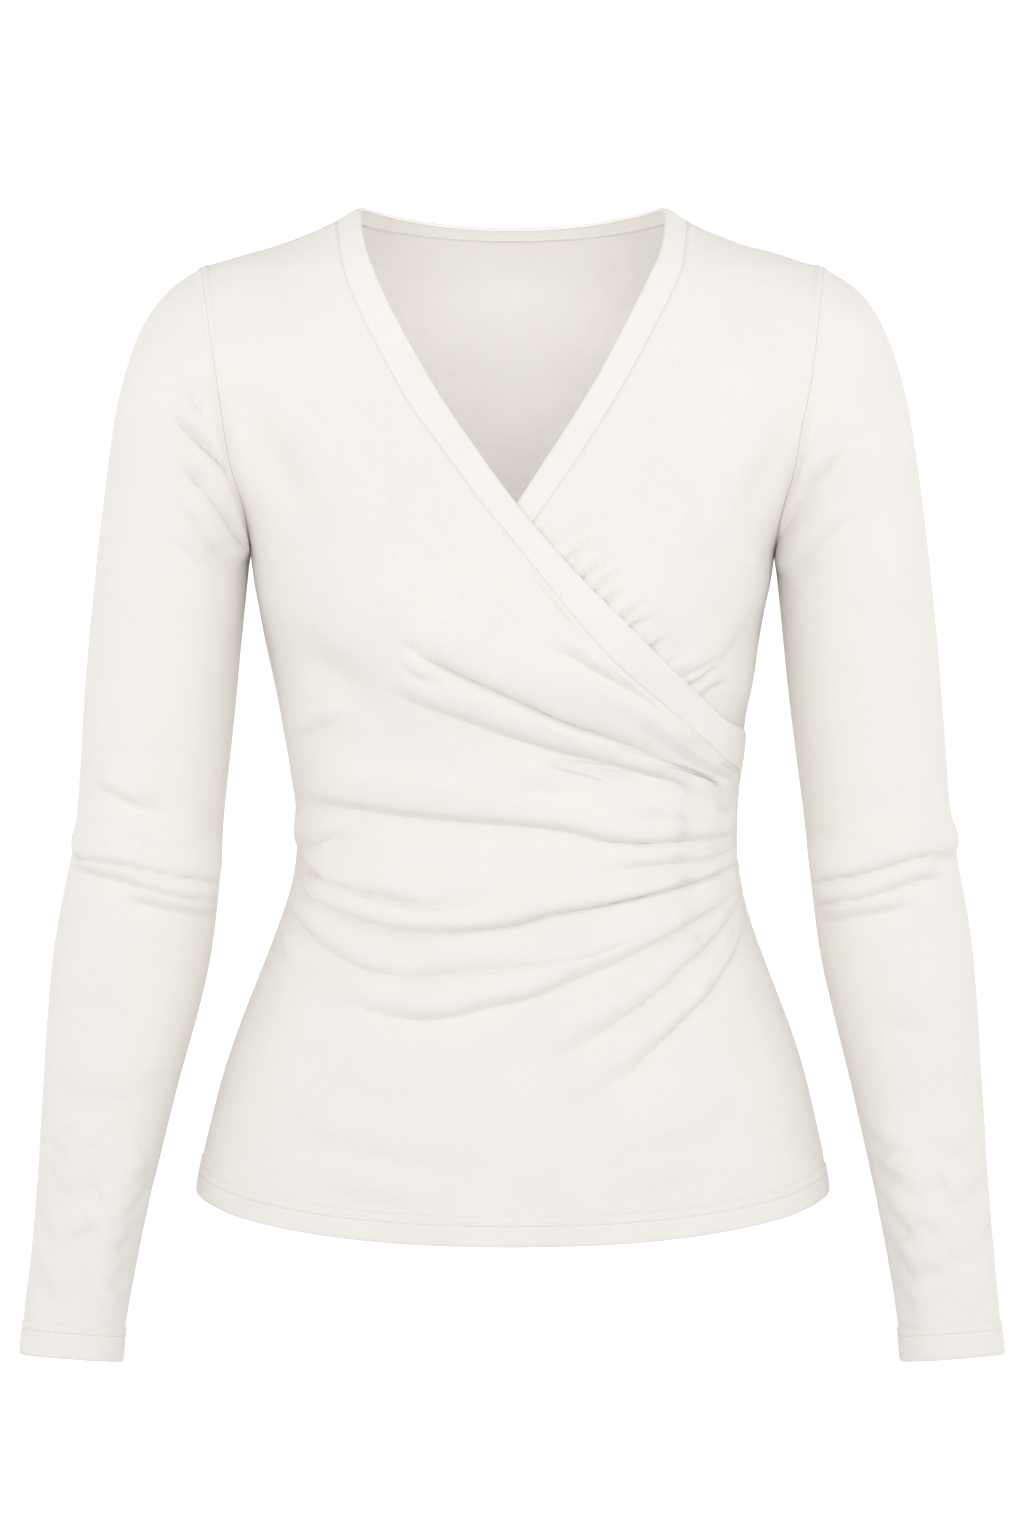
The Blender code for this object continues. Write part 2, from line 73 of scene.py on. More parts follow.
BODY_WIDTH = table(
    "drop right left",
    (199.0, 151.6, 151.6), (214.0, 149.6, 149.8), (227.9, 147.5, 147.9), (251.1, 143.4, 143.9),
    (274.3, 138.2, 139.4), (285.9, 135.9, 137.5), (297.5, 133.6, 135.8), (309.1, 131.3, 134.6),
    (320.7, 129.5, 133.4), (332.3, 127.8, 132.1), (343.9, 126.0, 131.0), (355.5, 124.9, 130.2),
    (367.1, 124.8, 129.9), (378.7, 125.5, 130.4), (390.3, 127.4, 132.1), (401.9, 130.7, 134.5),
    (413.5, 134.7, 137.9), (425.1, 138.9, 142.0), (436.7, 143.4, 146.4), (448.3, 148.1, 150.8),
    (459.9, 152.7, 155.4), (471.5, 157.3, 159.9), (483.1, 161.4, 163.9), (494.7, 165.4, 167.6),
    (506.3, 168.9, 170.9), (517.9, 172.0, 173.7), (529.5, 174.9, 176.3), (541.1, 177.7, 179.0),
    (552.7, 180.5, 181.4), (564.3, 182.8, 183.5), (571.0, 183.6, 184.2), (620.0, 187.0, 187.5))

BODY_DEPTH = table(
    "drop front back",
    (-40, 40, 60), (0, 52, 76), (50, 64, 90), (100, 79, 98), (150, 98, 100),
    (200, 114, 97), (240, 119, 91), (270, 117, 86), (300, 108, 81), (330, 100, 78),
    (365, 96, 77), (400, 97, 82), (450, 103, 95), (500, 108, 107), (550, 111, 113),
    (620, 113, 115))

SHOULDER_LINE = table(
    "x drop",
    (0, -24), (40, -19), (70, -9.5), (88.3, 0), (93, 3.8), (99.9, 8.0), (111.5, 13.9),
    (123, 18.5), (134.7, 22.8), (146, 25.8), (158, 29.2), (169.5, 32.8), (179.2, 35.4), (205, 45))

ARMHOLE_RIGHT = table(
    "drop x", (35.4, 179.2), (82, 172.2), (113, 167.3), (143, 163.0), (163, 158.0),
    (176.5, 154.0), (199, 151.6))
ARMHOLE_LEFT = table(
    "drop x", (35.4, 179.2), (89, 172.8), (119, 168.0), (153, 162.2), (170, 157.2),
    (187, 153.0), (199, 151.6))

HEM = table("x drop", (0, 592.8), (50, 591.8), (95, 589.0), (154, 581.0), (179, 573.6),
            (184, 571.0), (190, 569.0))

RIGHT_FREE = table(
    "drop x",
    (0, -88.6), (19.5, -85.4), (50.5, -73.4), (77.0, -59.5), (105.1, -43.2), (133.4, -23.8),
    (168.9, 1.8), (195.3, 24.2), (213.8, 41.1), (230.7, 58.1), (249.7, 76.9), (265.6, 92.5),
    (281.9, 110.0), (296.9, 124.4), (307.5, 134.8))
RIGHT_SEAM = table(
    "drop x",
    (8.6, -101.0), (36.0, -96.9), (60.7, -87.0), (85.2, -74.3), (111.3, -60.0),
    (135.6, -42.1), (166.6, -18.9), (193.6, 3.2), (219.4, 23.9), (240.9, 41.6), (259.7, 58.3),
    (275.6, 76.2), (293.6, 97.0), (308.4, 113.6), (319.7, 124.0), (333.0, 132.2))
LEFT_FREE = table(
    "drop x",
    (0, 88.6), (17.7, 87.4), (42.5, 77.2), (66.4, 65.1), (94.9, 49.9), (127.7, 29.7),
    (168.9, 1.8), (196.0, -20.0), (215.5, -39.0), (232.5, -57.0), (250.5, -75.5),
    (266.5, -91.5), (282.0, -108.5), (296.0, -121.0), (307.5, -131.0))
LEFT_SEAM = table(
    "drop x",
    (8.6, 101.0), (32.1, 98.2), (56.7, 87.6), (89.2, 70.5), (123.2, 50.4), (155.9, 28.6),
    (177.9, 12.5), (203.0, -6.0), (225.5, -25.0), (246.0, -44.0), (267.0, -63.0),
    (284.0, -81.0), (300.0, -99.0), (315.5, -114.5), (333.0, -127.2))

# Outline of each sleeve in the front view, outer and inner edge.
SLEEVE_OUTER = table(
    "drop right left",
    (35.4, 179.2, 179.2), (42.3, 191.6, 192.4), (53.9, 203.8, 205.0), (65.5, 211.9, 212.5),
    (77.1, 217.7, 217.9), (88.7, 221.7, 222.0), (100.3, 225.2, 225.4), (111.9, 228.1, 228.3),
    (135.1, 232.2, 232.4), (158.3, 235.2, 235.8), (181.5, 238.0, 238.9), (204.7, 240.8, 241.6),
    (227.9, 243.2, 244.0), (251.1, 245.4, 246.3), (285.9, 248.2, 249.2), (320.7, 250.2, 251.8),
    (343.9, 251.8, 253.4), (367.1, 254.4, 256.4), (390.3, 258.8, 260.4), (413.5, 263.4, 264.8),
    (436.7, 266.9, 267.7), (459.9, 269.0, 269.5), (494.7, 271.2, 271.6), (529.5, 273.4, 273.8),
    (564.3, 275.6, 276.0), (599.1, 278.4, 278.8), (633.9, 282.6, 282.0), (664.0, 285.6, 285.4))
SLEEVE_INNER = table(
    "drop right left",
    (199.0, 151.6, 151.6), (227.9, 154.5, 154.7), (251.1, 156.8, 157.0), (285.9, 160.2, 160.5),
    (320.7, 163.7, 164.9), (343.9, 166.4, 168.0), (367.1, 168.4, 170.8), (390.3, 170.0, 173.3),
    (413.5, 171.9, 175.8), (436.7, 175.3, 179.2), (459.9, 180.4, 184.4), (483.1, 186.8, 190.0),
    (506.3, 193.1, 195.8), (529.5, 199.1, 201.1), (552.7, 204.7, 206.2), (575.9, 210.1, 211.0),
    (599.1, 215.2, 215.5), (622.3, 219.8, 219.6), (645.5, 223.8, 223.1), (668.5, 225.8, 225.0))
SLEEVE = table(
    "station outer_drop inner_drop front back swing",
    (0, 35.4, 199.0, 50.0, 56.0, 0), (1, 41.6, 201.5, 51.0, 57.0, 0),
    (2, 64.5, 205.0, 52.5, 57.0, 0), (3, 100.0, 210.0, 53.0, 56.0, 0),
    (4, 158.0, 219.0, 52.5, 54.5, 0), (5, 218.0, 231.0, 52.0, 53.0, 0),
    (6, 284.0, 293.0, 50.5, 51.5, -0.5), (7, 345.0, 353.0, 48.0, 49.0, -1.5),
    (8, 390.0, 398.0, 46.5, 47.0, -3), (9, 437.0, 446.0, 44.0, 45.0, -5.5),
    (10, 495.0, 505.0, 40.0, 40.0, -9.5), (11, 562.0, 572.0, 35.0, 35.0, -13.5),
    (12, 632.0, 640.0, 31.5, 31.5, -18), (13, 664.0, 668.5, 31.0, 31.0, -20))

# ------------------------------------------------------------------ creases
# A crease is a path of (x, drop) points, left to right as seen from the front, with the
# bottom of its valley on the path and its soft ridge above it.
#   rise   height of the ridge           reach  how far above the path its top lies
#   cut    depth of the valley           start, end  share of the length that fades in or out
#   crisp  0 is a soft wave, 1 rounds over sharply into the valley
CREASES_OUTER = [
    # rise reach cut start end crisp path
    (2.2, 8.5, 0.9, 0.35, 0.16, 0.64, [(14.6, 245.5), (29.3, 254.2), (39, 259.2), (48.8, 265.1), (58.6, 270.6), (68.5, 276.7), (78.4, 283.4), (88.3, 291.7), (95.4, 299), (106.5, 310.5), (110.6, 314.3)]),
    (0.7, 6.0, 0.8, 0.5, 0.25, 0.3, [(83.5, 307.6), (93.5, 310.9), (103.5, 316.3), (113.6, 323.9), (120.9, 330.5), (129.5, 340.8)]),
    (2.9, 12.0, 1.8, 0.22, 0.12, 1.0, [(-66.3, 245.6), (-58.5, 250.4), (-48.8, 257.2), (-39, 262.1), (-29.3, 267), (-13, 274.5), (8, 284), (20, 289.6), (32.3, 294.8), (49, 300.5), (58.8, 304.6), (68.7, 308.7), (78.6, 313.5), (88.5, 318.3), (98.5, 323.6), (108.6, 329.1)]),
    (0.9, 6.0, 0.7, 0.35, 0.2, 0.2, [(84, 316.0), (98.5, 323.6), (108.6, 329.1), (118.9, 336.4), (129, 344.9)]),
    (0.8, 5.0, 0.5, 0.4, 0.5, 0.4, [(-66.4, 259.4), (-56.6, 266.2), (-46.9, 270), (-35.1, 272)]),
    (2.1, 11.0, 0.9, 0.22, 0.02, 0.9, [(-76.3, 271.4), (-68.5, 277.2), (-58.7, 282.6), (-48.9, 286.5), (-39.1, 289.9), (-29.3, 293.3), (-13, 299), (8, 306), (29.4, 312.3), (49, 316.9), (68.7, 322.7), (88.6, 328.7), (98.6, 333.6), (108.7, 339.6), (118.9, 346.4), (128.5, 351.9)]),
    (0.7, 8.0, 0.3, 0.45, 0.45, 0.2, [(-13, 334), (38, 336)]),
    (1.0, 6.0, 0.5, 0.45, 0.02, 0.5, [(49, 347.7), (88.7, 349.7), (113.8, 353), (128.6, 358)]),
    (2.9, 10.5, 1.0, 0.12, 0.02, 0.75, [(-124, 343), (-119, 343.5), (-96, 345), (-71, 347.8), (-41, 350.5), (4.5, 353.5), (29.4, 356.4), (39.3, 358.5), (49, 361.6), (59, 363.2), (69, 363.9), (79, 364.2), (99, 363.5), (119, 363.4), (128.6, 362.6)]),
    (1.9, 7.0, 1.0, 0.2, 0.6, 0.5, [(-124, 367), (-105, 363), (-88, 360)]),
    (1.3, 5.5, 0.8, 0.2, 0.6, 0.5, [(-125, 373), (-110, 370), (-96, 368)]),
    (2.4, 8.0, 1.6, 0.06, 0.55, 0.7, [(-125, 371), (-123, 375), (-116, 382.5), (-95, 391), (-74, 395), (-53, 399), (-35, 399), (-13, 393), (8, 388)]),
    (1.5, 6.0, 0.8, 0.4, 0.02, 0.7, [(49, 380.2), (69, 378.7), (89, 376.4), (109, 375), (119, 372.9), (128.6, 370.1)]),
    (2.6, 7.5, 1.6, 0.1, 0.02, 0.9, [(-126, 386), (-123, 391), (-116, 398), (-99, 405.5), (-84, 410), (-63, 414), (-41, 414), (-19.6, 412.3), (0, 409.8), (19.6, 404.5), (39.3, 401.2), (59, 397.6), (78.8, 393.7), (98.7, 389.1), (108.8, 386.3), (119, 383.2), (128.5, 378.8)]),
    (2.2, 9.0, 1.0, 0.08, 0.2, 0.75, [(-132, 403), (-121, 414), (-109, 424), (-90, 434), (-74, 438), (-58, 440), (-41, 438), (-19.6, 434.7), (0, 433.7), (19.6, 431.5), (39.3, 429), (49.1, 426.2), (63.9, 420.6), (78.7, 415.2), (92, 410.5)]),
    (0.7, 5.0, 0.4, 0.4, 0.02, 0.5, [(70, 418.5), (88.7, 411.6), (98.7, 407.2), (108.7, 401.9), (118.9, 395.9), (128.4, 386.5)]),
    (2.6, 10.0, 1.1, 0.25, 0.02, 0.85, [(-112, 454), (-88, 458), (-70, 462), (-53, 464), (-33, 462), (-19.6, 458.1), (0, 453.6), (9.8, 450.7), (19.6, 447.3), (29.4, 442.5), (39.3, 439.2), (49.1, 435.5), (58.9, 431.7), (68.8, 427.1), (78.7, 422.5), (88.6, 417.5), (98.6, 412.1), (108.7, 406.8), (118.9, 400.7), (125.1, 396.6), (129.4, 392.5)]),
    (2.1, 9.0, 1.0, 0.4, 0.02, 0.8, [(9.8, 491.2), (19.6, 488.3), (29.4, 482.5), (39.2, 477.7), (49.1, 472), (58.9, 465.3), (68.8, 459.2), (78.6, 452.1), (88.6, 444.2), (98.5, 434.8), (108.6, 426.2), (118.8, 415.7), (126.1, 406.3), (131.5, 400.5)]),
    (1.9, 8.0, 1.0, 0.4, 0.02, 0.8, [(39.2, 512.8), (49, 506.1), (58.9, 498.4), (68.7, 491.8), (78.6, 482.3), (88.5, 473.8), (98.4, 464.4), (108.4, 455.2), (116.5, 445.9), (122.6, 436.7), (128.9, 426.7), (133.3, 415.9), (135.2, 408)]),
    (0.8, 4.5, 0.4, 0.5, 0.02, 0.5, [(78.7, 445.3), (93.6, 431.3), (108.6, 419.4), (118.8, 409.4), (128.2, 399.9)]),
    (0.9, 4.5, 0.5, 0.4, 0.02, 0.6, [(103.5, 449.1), (113.5, 437.1), (120.7, 426), (127, 412.2), (131.4, 403.3)]),
    (0.8, 4.5, 0.4, 0.5, 0.02, 0.5, [(98.7, 398.4), (108.7, 394.1), (119, 388.1), (126.3, 383.2)]),
    (0.7, 4.0, 0.4, 0.6, 0.02, 0.5, [(92, 371), (112, 369), (129, 367)]),
    (1.0, 5.0, 0.5, 0.3, 0.35, 0.6, [(136, 411), (139, 416), (143, 432)]),
    (0.9, 5.0, 0.4, 0.3, 0.4, 0.4, [(-136, 417), (-131, 436)]),
    (0.2, 16.0, 0.4, 0.45, 0.35, 0.1, [(-129.2, 232.7), (-120.1, 247.2), (-113.1, 258.8), (-105.1, 269.4)]),
    (0.4, 7.0, 0.6, 0.35, 0.45, 0.1, [(-124.7, 288.7), (-110.3, 282.6), (-99.1, 274.1)]),
    (0.7, 8.0, 0.5, 0.35, 0.5, 0.1, [(-125, 308.5), (-117.7, 304.3), (-105.4, 296.5), (-91.3, 287.9)]),
    (0.5, 13.0, 0.2, 0.45, 0.45, 0.1, [(-90, 483), (-70, 487), (-46, 489), (-25, 488)]),
    (0.5, 14.0, 0.3, 0.4, 0.45, 0.1, [(-112, 506), (-90, 509), (-68, 512), (-44, 512)]),
    (0.9, 14.0, 0.4, 0.3, 0.5, 0.1, [(-134, 527), (-120, 533), (-105, 538), (-80, 544), (-59, 548), (-27, 550), (0, 547)]),
    (0.8, 11.0, 0.3, 0.35, 0.5, 0.1, [(-118, 560), (-100, 564), (-84, 568), (-60, 571), (-40, 571)]),
    (0.6, 14.0, 0.3, 0.4, 0.4, 0.1, [(40, 549), (62, 546), (84, 541), (105, 536), (128, 529)]),
    (0.5, 11.0, 0.2, 0.4, 0.45, 0.1, [(52, 567), (74, 564), (96, 559), (118, 552)]),
    (0.6, 11.0, 0.3, 0.4, 0.5, 0.2, [(-4, 470), (22, 462), (52, 451)]),
    (0.5, 13.0, 0.2, 0.45, 0.45, 0.1, [(20, 516), (40, 511), (60, 502)]),
]

# Puckers of the gathered side seam: drop at the seam, height, half width, length, slope.
PUCKERS = table(
    "drop height wide length slope",
    (312, 0.9, 2.2, 9, -0.10), (319, 1.1, 2.4, 12, 0.10), (326, 1.3, 2.6, 14, 0.25),
    (334, 1.0, 2.3, 10, 0.20), (341, 1.3, 2.6, 16, 0.10), (348, 0.9, 2.2, 9, 0.05),
    (355, 1.4, 2.7, 18, 0.05), (362, 1.0, 2.3, 11, -0.05), (369, 1.2, 2.5, 15, -0.15),
    (376, 0.9, 2.2, 10, -0.20), (383, 1.3, 2.6, 17, -0.25), (390, 1.0, 2.4, 12, -0.30),
    (397, 1.2, 2.6, 15, -0.40), (405, 0.9, 2.6, 12, -0.50), (414, 1.0, 2.8, 14, -0.60),
    (424, 0.7, 2.8, 12, -0.70))

# Short gathers of the under front, fanning up from beneath the outer neckband.
GATHERS_UNDER = [
    (0.98, 3.96, 1.53, 0.04, 0.7, 0.25, [(26.2, 202.8), (30.2, 199.7), (35.1, 195.9), (41, 192), (46.9, 187.2), (53.7, 184.3)]),
    (0.68, 3.31, 1.02, 0.04, 0.7, 0.2, [(29.3, 207.8), (33.2, 204.6), (38, 200.7), (42.9, 197.8)]),
    (1.12, 4.18, 1.7, 0.04, 0.7, 0.25, [(36.1, 213.5), (40, 210.4), (44.9, 206.5), (48.8, 203.6), (54.6, 199.8), (60.5, 195.9)]),
    (1.2, 4.39, 1.7, 0.04, 0.7, 0.25, [(42.9, 221.3), (46.8, 218.2), (51.7, 214.3), (56.6, 211.4), (62.4, 207.6), (68.3, 203.7)]),
    (1.05, 4.18, 1.53, 0.04, 0.7, 0.25, [(48.4, 227.8), (52.6, 225), (58.5, 221.1), (64.4, 218.2), (70.3, 215.4)]),
    (1.27, 4.61, 1.87, 0.04, 0.7, 0.35, [(57.1, 237.3), (61.4, 234.8), (66.3, 231.9), (71.2, 228), (77.1, 224.2)]),
    (0.98, 3.74, 1.53, 0.04, 0.7, 0.25, [(62, 243.2), (66.3, 240.7), (71.2, 237.8), (76.1, 235.9), (82, 233.1)]),
    (0.68, 3.31, 1.02, 0.04, 0.7, 0.2, [(69.2, 250.6), (73.2, 247.6), (77.1, 244.7), (81.1, 241.9)]),
    (0.98, 3.96, 1.53, 0.04, 0.7, 0.25, [(74, 255.3), (78.2, 252.6), (84.1, 248.8), (89, 246)]),
    (0.75, 3.53, 1.19, 0.04, 0.7, 0.2, [(84.1, 265.4), (88.1, 262.3), (93, 258.5), (97, 256.1)]),
    (1.42, 4.61, 2.04, 0.04, 0.7, 0.45, [(91.7, 272.3), (96.1, 270), (103.1, 266.3), (108.1, 263.5), (115.1, 259.8), (122.2, 258.2)]),
    (1.5, 4.18, 2.21, 0.04, 0.7, 0.55, [(96.7, 277.5), (101.1, 275.2), (108.1, 271.5), (114.1, 266.8), (120.2, 265.1), (126, 262.5)]),
    (1.35, 4.61, 2.04, 0.04, 0.7, 0.45, [(105.3, 285.6), (109.2, 282.5), (116.3, 276.9), (122.4, 274.3), (128.6, 274.8)]),
    (0.8, 7.2, 0.5, 0.3, 0.7, 0.2, [(110.1, 262.6), (123.2, 259.3), (131.4, 249.8), (138.6, 238.4)]),
    (0.7, 7.2, 0.3, 0.4, 0.7, 0.2, [(140, 214), (144, 206), (149, 196)]),
]

# Folds of the back: drag lines from the armholes, the small of the back, the hem.
CREASES_BACK = [
    (1.3, 11.0, 0.5, 0.15, 0.60, 0.3, [(-158, 150), (-138, 163), (-112, 178), (-86, 190)]),
    (1.0, 10.0, 0.4, 0.15, 0.60, 0.3, [(-151, 186), (-130, 200), (-104, 214)]),
    (1.2, 11.0, 0.5, 0.60, 0.15, 0.3, [(82, 196), (110, 182), (136, 168), (158, 154)]),
    (1.0, 10.0, 0.4, 0.60, 0.15, 0.3, [(100, 220), (126, 207), (151, 190)]),
    (1.6, 10.0, 0.7, 0.10, 0.50, 0.5, [(-126, 330), (-100, 337), (-66, 343), (-30, 345)]),
    (2.1, 11.0, 0.9, 0.15, 0.20, 0.6, [(-125, 352), (-92, 361), (-50, 367), (0, 368), (46, 365), (92, 359), (131, 352)]),
    (1.5, 9.0, 0.7, 0.50, 0.05, 0.5, [(22, 345), (60, 343), (98, 339), (132, 334)]),
    (2.3, 11.0, 1.0, 0.10, 0.35, 0.6, [(-126, 380), (-100, 389), (-66, 395), (-24, 397), (18, 393), (52, 388)]),
    (1.7, 9.0, 0.8, 0.40, 0.05, 0.6, [(34, 384), (70, 379), (104, 374), (131, 370)]),
    (2.0, 11.0, 0.9, 0.45, 0.05, 0.5, [(-40, 425), (0, 424), (44, 416), (88, 404), (133, 390)]),
    (1.6, 11.0, 0.7, 0.05, 0.50, 0.5, [(-132, 408), (-108, 420), (-76, 430), (-38, 434)]),
    (1.2, 11.0, 0.5, 0.50, 0.10, 0.4, [(36, 458), (76, 446), (112, 428), (141, 410)]),
    (1.1, 14.0, 0.5, 0.40, 0.45, 0.1, [(-120, 512), (-86, 520), (-50, 524)]),
    (1.0, 14.0, 0.4, 0.45, 0.40, 0.1, [(40, 534), (78, 528), (112, 518)]),
    (0.9, 13.0, 0.4, 0.45, 0.45, 0.1, [(-30, 560), (4, 563), (38, 560)]),
]

# Creases of the sleeves, as seen from the front.
CREASES_SLEEVE_RIGHT = [
    (1.3, 7.0, 0.6, 0.35, 0.25, 0.6, [(-189, 104), (-174.8, 122.5), (-166.5, 130.5)]),
    (2.4, 8.0, 1.2, 0.25, 0.1, 0.9, [(-195.8, 119.9), (-183.2, 133.4), (-173.2, 142.6), (-164.8, 152.6), (-158.9, 162.7), (-154.8, 176.1), (-152.3, 186.2)]),
    (1.9, 8.0, 0.9, 0.3, 0.12, 0.7, [(-192.5, 149.3), (-179.9, 160.2), (-169.8, 172.7), (-161.5, 186.2), (-155.6, 197.9)]),
    (1.5, 8.0, 0.7, 0.35, 0.15, 0.6, [(-195.1, 169.4), (-181.6, 184.5), (-169.9, 197.9), (-159.8, 209.6)]),
    (0.7, 8.0, 0.3, 0.4, 0.3, 0.3, [(-200, 186.2), (-186.7, 201.3), (-176.6, 209.6)]),
    (1.2, 8.0, 0.6, 0.2, 0.4, 0.55, [(-242.8, 333.5), (-237.8, 335.5), (-227.9, 340), (-218, 344.4), (-208.1, 347.4), (-198.2, 349.9)]),
    (1.1, 6.0, 0.5, 0.3, 0.3, 0.44, [(-233.9, 358.3), (-226, 361.3), (-218.1, 364.3), (-208.2, 367.8), (-198.3, 369.7), (-188.3, 370.7), (-178.4, 374.2), (-170.5, 380.2)]),
    (0.9, 4.0, 0.5, 0.25, 0.4, 0.66, [(-248.8, 362.3), (-243.8, 362.8), (-237.9, 365.3), (-232.9, 368.3), (-227, 370.7)]),
    (2.3, 8.0, 1.2, 0.1, 0.15, 0.99, [(-255, 375), (-250.8, 375.2), (-237.9, 376.2), (-228, 377.2), (-218.1, 379.2), (-208.2, 381.7), (-198.3, 384.1), (-188.4, 385.6), (-178.5, 388.1), (-168.6, 391.6)]),
    (1.7, 6.5, 0.9, 0.12, 0.15, 0.88, [(-255, 382), (-248.8, 383.2), (-237.9, 385.6), (-228, 387.6), (-218.1, 390.1), (-208.2, 392.6), (-198.3, 395.6), (-188.4, 397.6), (-178.5, 399.5), (-169.6, 402)]),
    (1.4, 7.0, 0.6, 0.3, 0.2, 0.66, [(-226.1, 398.1), (-218.2, 400), (-208.2, 402.5), (-198.3, 405), (-188.4, 407), (-178.5, 409.5), (-170.6, 412)]),
    (0.36, 11.0, 0.3, 0.45, 0.3, 0.1, [(-215, 505), (-192, 505)]),
    (0.42, 12.1, 0.3, 0.3, 0.4, 0.1, [(-261, 515), (-206, 515)]),
    (0.94, 9.1, 0.5, 0.6, 0.12, 0.15, [(-230.8, 567.1), (-220.9, 564.1), (-213.9, 561.1), (-207.9, 558.1)]),
    (1.44, 10.4, 0.8, 0.5, 0.12, 0.25, [(-234.9, 590.1), (-228.9, 588.1), (-222.9, 584.1), (-216.9, 578.1), (-211.9, 572.1), (-207.9, 565.1)]),
    (1.19, 10.4, 0.7, 0.5, 0.12, 0.2, [(-236.9, 609.1), (-228.9, 605.1), (-222.9, 600.1), (-218, 594.1), (-213, 586.1)]),
    (0.85, 10.4, 0.5, 0.5, 0.12, 0.15, [(-238, 631.1), (-233, 627.1), (-227, 621.1), (-223, 615.1), (-218, 608.1)]),
    (0.59, 7.8, 0.3, 0.5, 0.15, 0.15, [(-230, 640.1), (-226, 635.1), (-222, 629.1)]),
    (1.02, 10.4, 0.6, 0.12, 0.6, 0.2, [(-268.5, 537.1), (-264.6, 544.1), (-258.6, 550.1), (-253.7, 555.1), (-247.7, 559.1)]),
    (1.1, 11.7, 0.6, 0.12, 0.6, 0.2, [(-270.6, 547.1), (-268.6, 557.1), (-265.6, 563.1), (-260.7, 569.1), (-254.7, 575.1), (-248.8, 579.1)]),
    (1.02, 11.7, 0.6, 0.12, 0.6, 0.2, [(-274.6, 577.1), (-271.7, 587.1), (-268.7, 597.1), (-264.8, 604.1), (-258.8, 610.1)]),
    (0.51, 6.5, 0.3, 0.3, 0.5, 0.15, [(-260.7, 587.1), (-253.8, 591.1), (-247.8, 593.1)]),
    (0.85, 10.4, 0.5, 0.15, 0.6, 0.15, [(-277.7, 603.1), (-275.7, 612.1), (-272.8, 621.1), (-266.8, 631.1), (-260.9, 639.1)]),
]
CREASES_SLEEVE_LEFT = [
    (1.4, 7.0, 0.6, 0.2, 0.4, 0.5, [(158, 169.4), (163, 154.2), (168, 142.6), (174.7, 129.1), (183.1, 117.5)]),
    (2.2, 8.0, 1.1, 0.12, 0.35, 0.8, [(154.7, 189.5), (159.7, 177.8), (166.4, 167.8), (174.8, 157.7), (183.2, 147.6), (194, 136.7)]),
    (1.1, 8.0, 0.5, 0.15, 0.4, 0.4, [(159.7, 216.4), (168.1, 204.7), (178.2, 194.6), (188.3, 184.5), (198.3, 172.7)]),
    (1.0, 6.0, 0.5, 0.4, 0.3, 0.55, [(231, 367.3), (237.9, 362.3), (242.8, 357.3), (247.8, 352.4)]),
    (2.2, 8.0, 1.1, 0.15, 0.12, 0.99, [(173.5, 391.1), (178.5, 389.1), (188.4, 386.1), (198.3, 384.1), (208.2, 381.2), (218.1, 378.2), (228, 375.2), (237.9, 373.7), (247.8, 374.7), (254.8, 378.2)]),
    (1.7, 6.5, 0.9, 0.15, 0.15, 0.88, [(174.5, 404), (180.5, 402), (188.4, 400), (198.3, 398.1), (208.2, 395.1), (218.1, 392.1), (228, 389.1), (238, 387.6), (248.9, 387.1)]),
    (1.3, 6.5, 0.6, 0.2, 0.4, 0.66, [(176.5, 413), (183.5, 412), (188.4, 411), (198.3, 408.5), (208.3, 407), (218.2, 404.5), (228.1, 402), (238, 400)]),
    (0.48, 12.1, 0.3, 0.4, 0.4, 0.1, [(205, 470), (228, 474), (250, 470)]),
    (0.85, 10.4, 0.5, 0.12, 0.5, 0.15, [(201.9, 533.2), (206.9, 538.1), (213.9, 544.1), (223.8, 546.6), (233.8, 544.1), (244.7, 538.1)]),
    (1.36, 10.4, 0.8, 0.12, 0.5, 0.25, [(207.9, 550.1), (212.9, 557.1), (218.9, 561.1), (226.8, 566.1), (234.8, 572.1), (242.8, 577.1)]),
    (1.44, 10.4, 0.8, 0.12, 0.5, 0.25, [(209.9, 567.1), (213.9, 575.1), (218.9, 583.1), (225.9, 591.1), (231.9, 598.1), (238.9, 605.1)]),
    (0.59, 6.5, 0.3, 0.3, 0.4, 0.15, [(228.9, 580.1), (236.8, 587.1), (244.8, 593.1), (250.8, 595.1)]),
    (1.19, 10.4, 0.7, 0.12, 0.5, 0.2, [(217, 597.1), (221, 606.1), (226, 614.1), (232, 621.1), (238.9, 627.1)]),
    (0.68, 7.8, 0.4, 0.15, 0.5, 0.15, [(222, 621.1), (225, 629.1), (229, 637.1), (233, 642.1)]),
    (0.51, 6.5, 0.3, 0.3, 0.4, 0.15, [(232.9, 610.1), (241.9, 615.1), (249.9, 617.1)]),
    (0.77, 10.4, 0.4, 0.5, 0.12, 0.15, [(244.7, 556.1), (254.7, 551.1), (264.6, 543.1), (272.5, 532.2)]),
    (0.85, 10.4, 0.5, 0.5, 0.12, 0.15, [(250.8, 582.1), (260.7, 577.1), (270.6, 565.1), (274.6, 557.1)]),
    (0.77, 10.4, 0.4, 0.5, 0.12, 0.15, [(260.8, 619.1), (268.8, 609.1), (273.7, 597.1), (277.6, 587.1)]),
    (0.59, 9.1, 0.3, 0.5, 0.15, 0.15, [(264.9, 645.1), (270.8, 637.1), (276.8, 625.1), (279.7, 612.1)]),
]
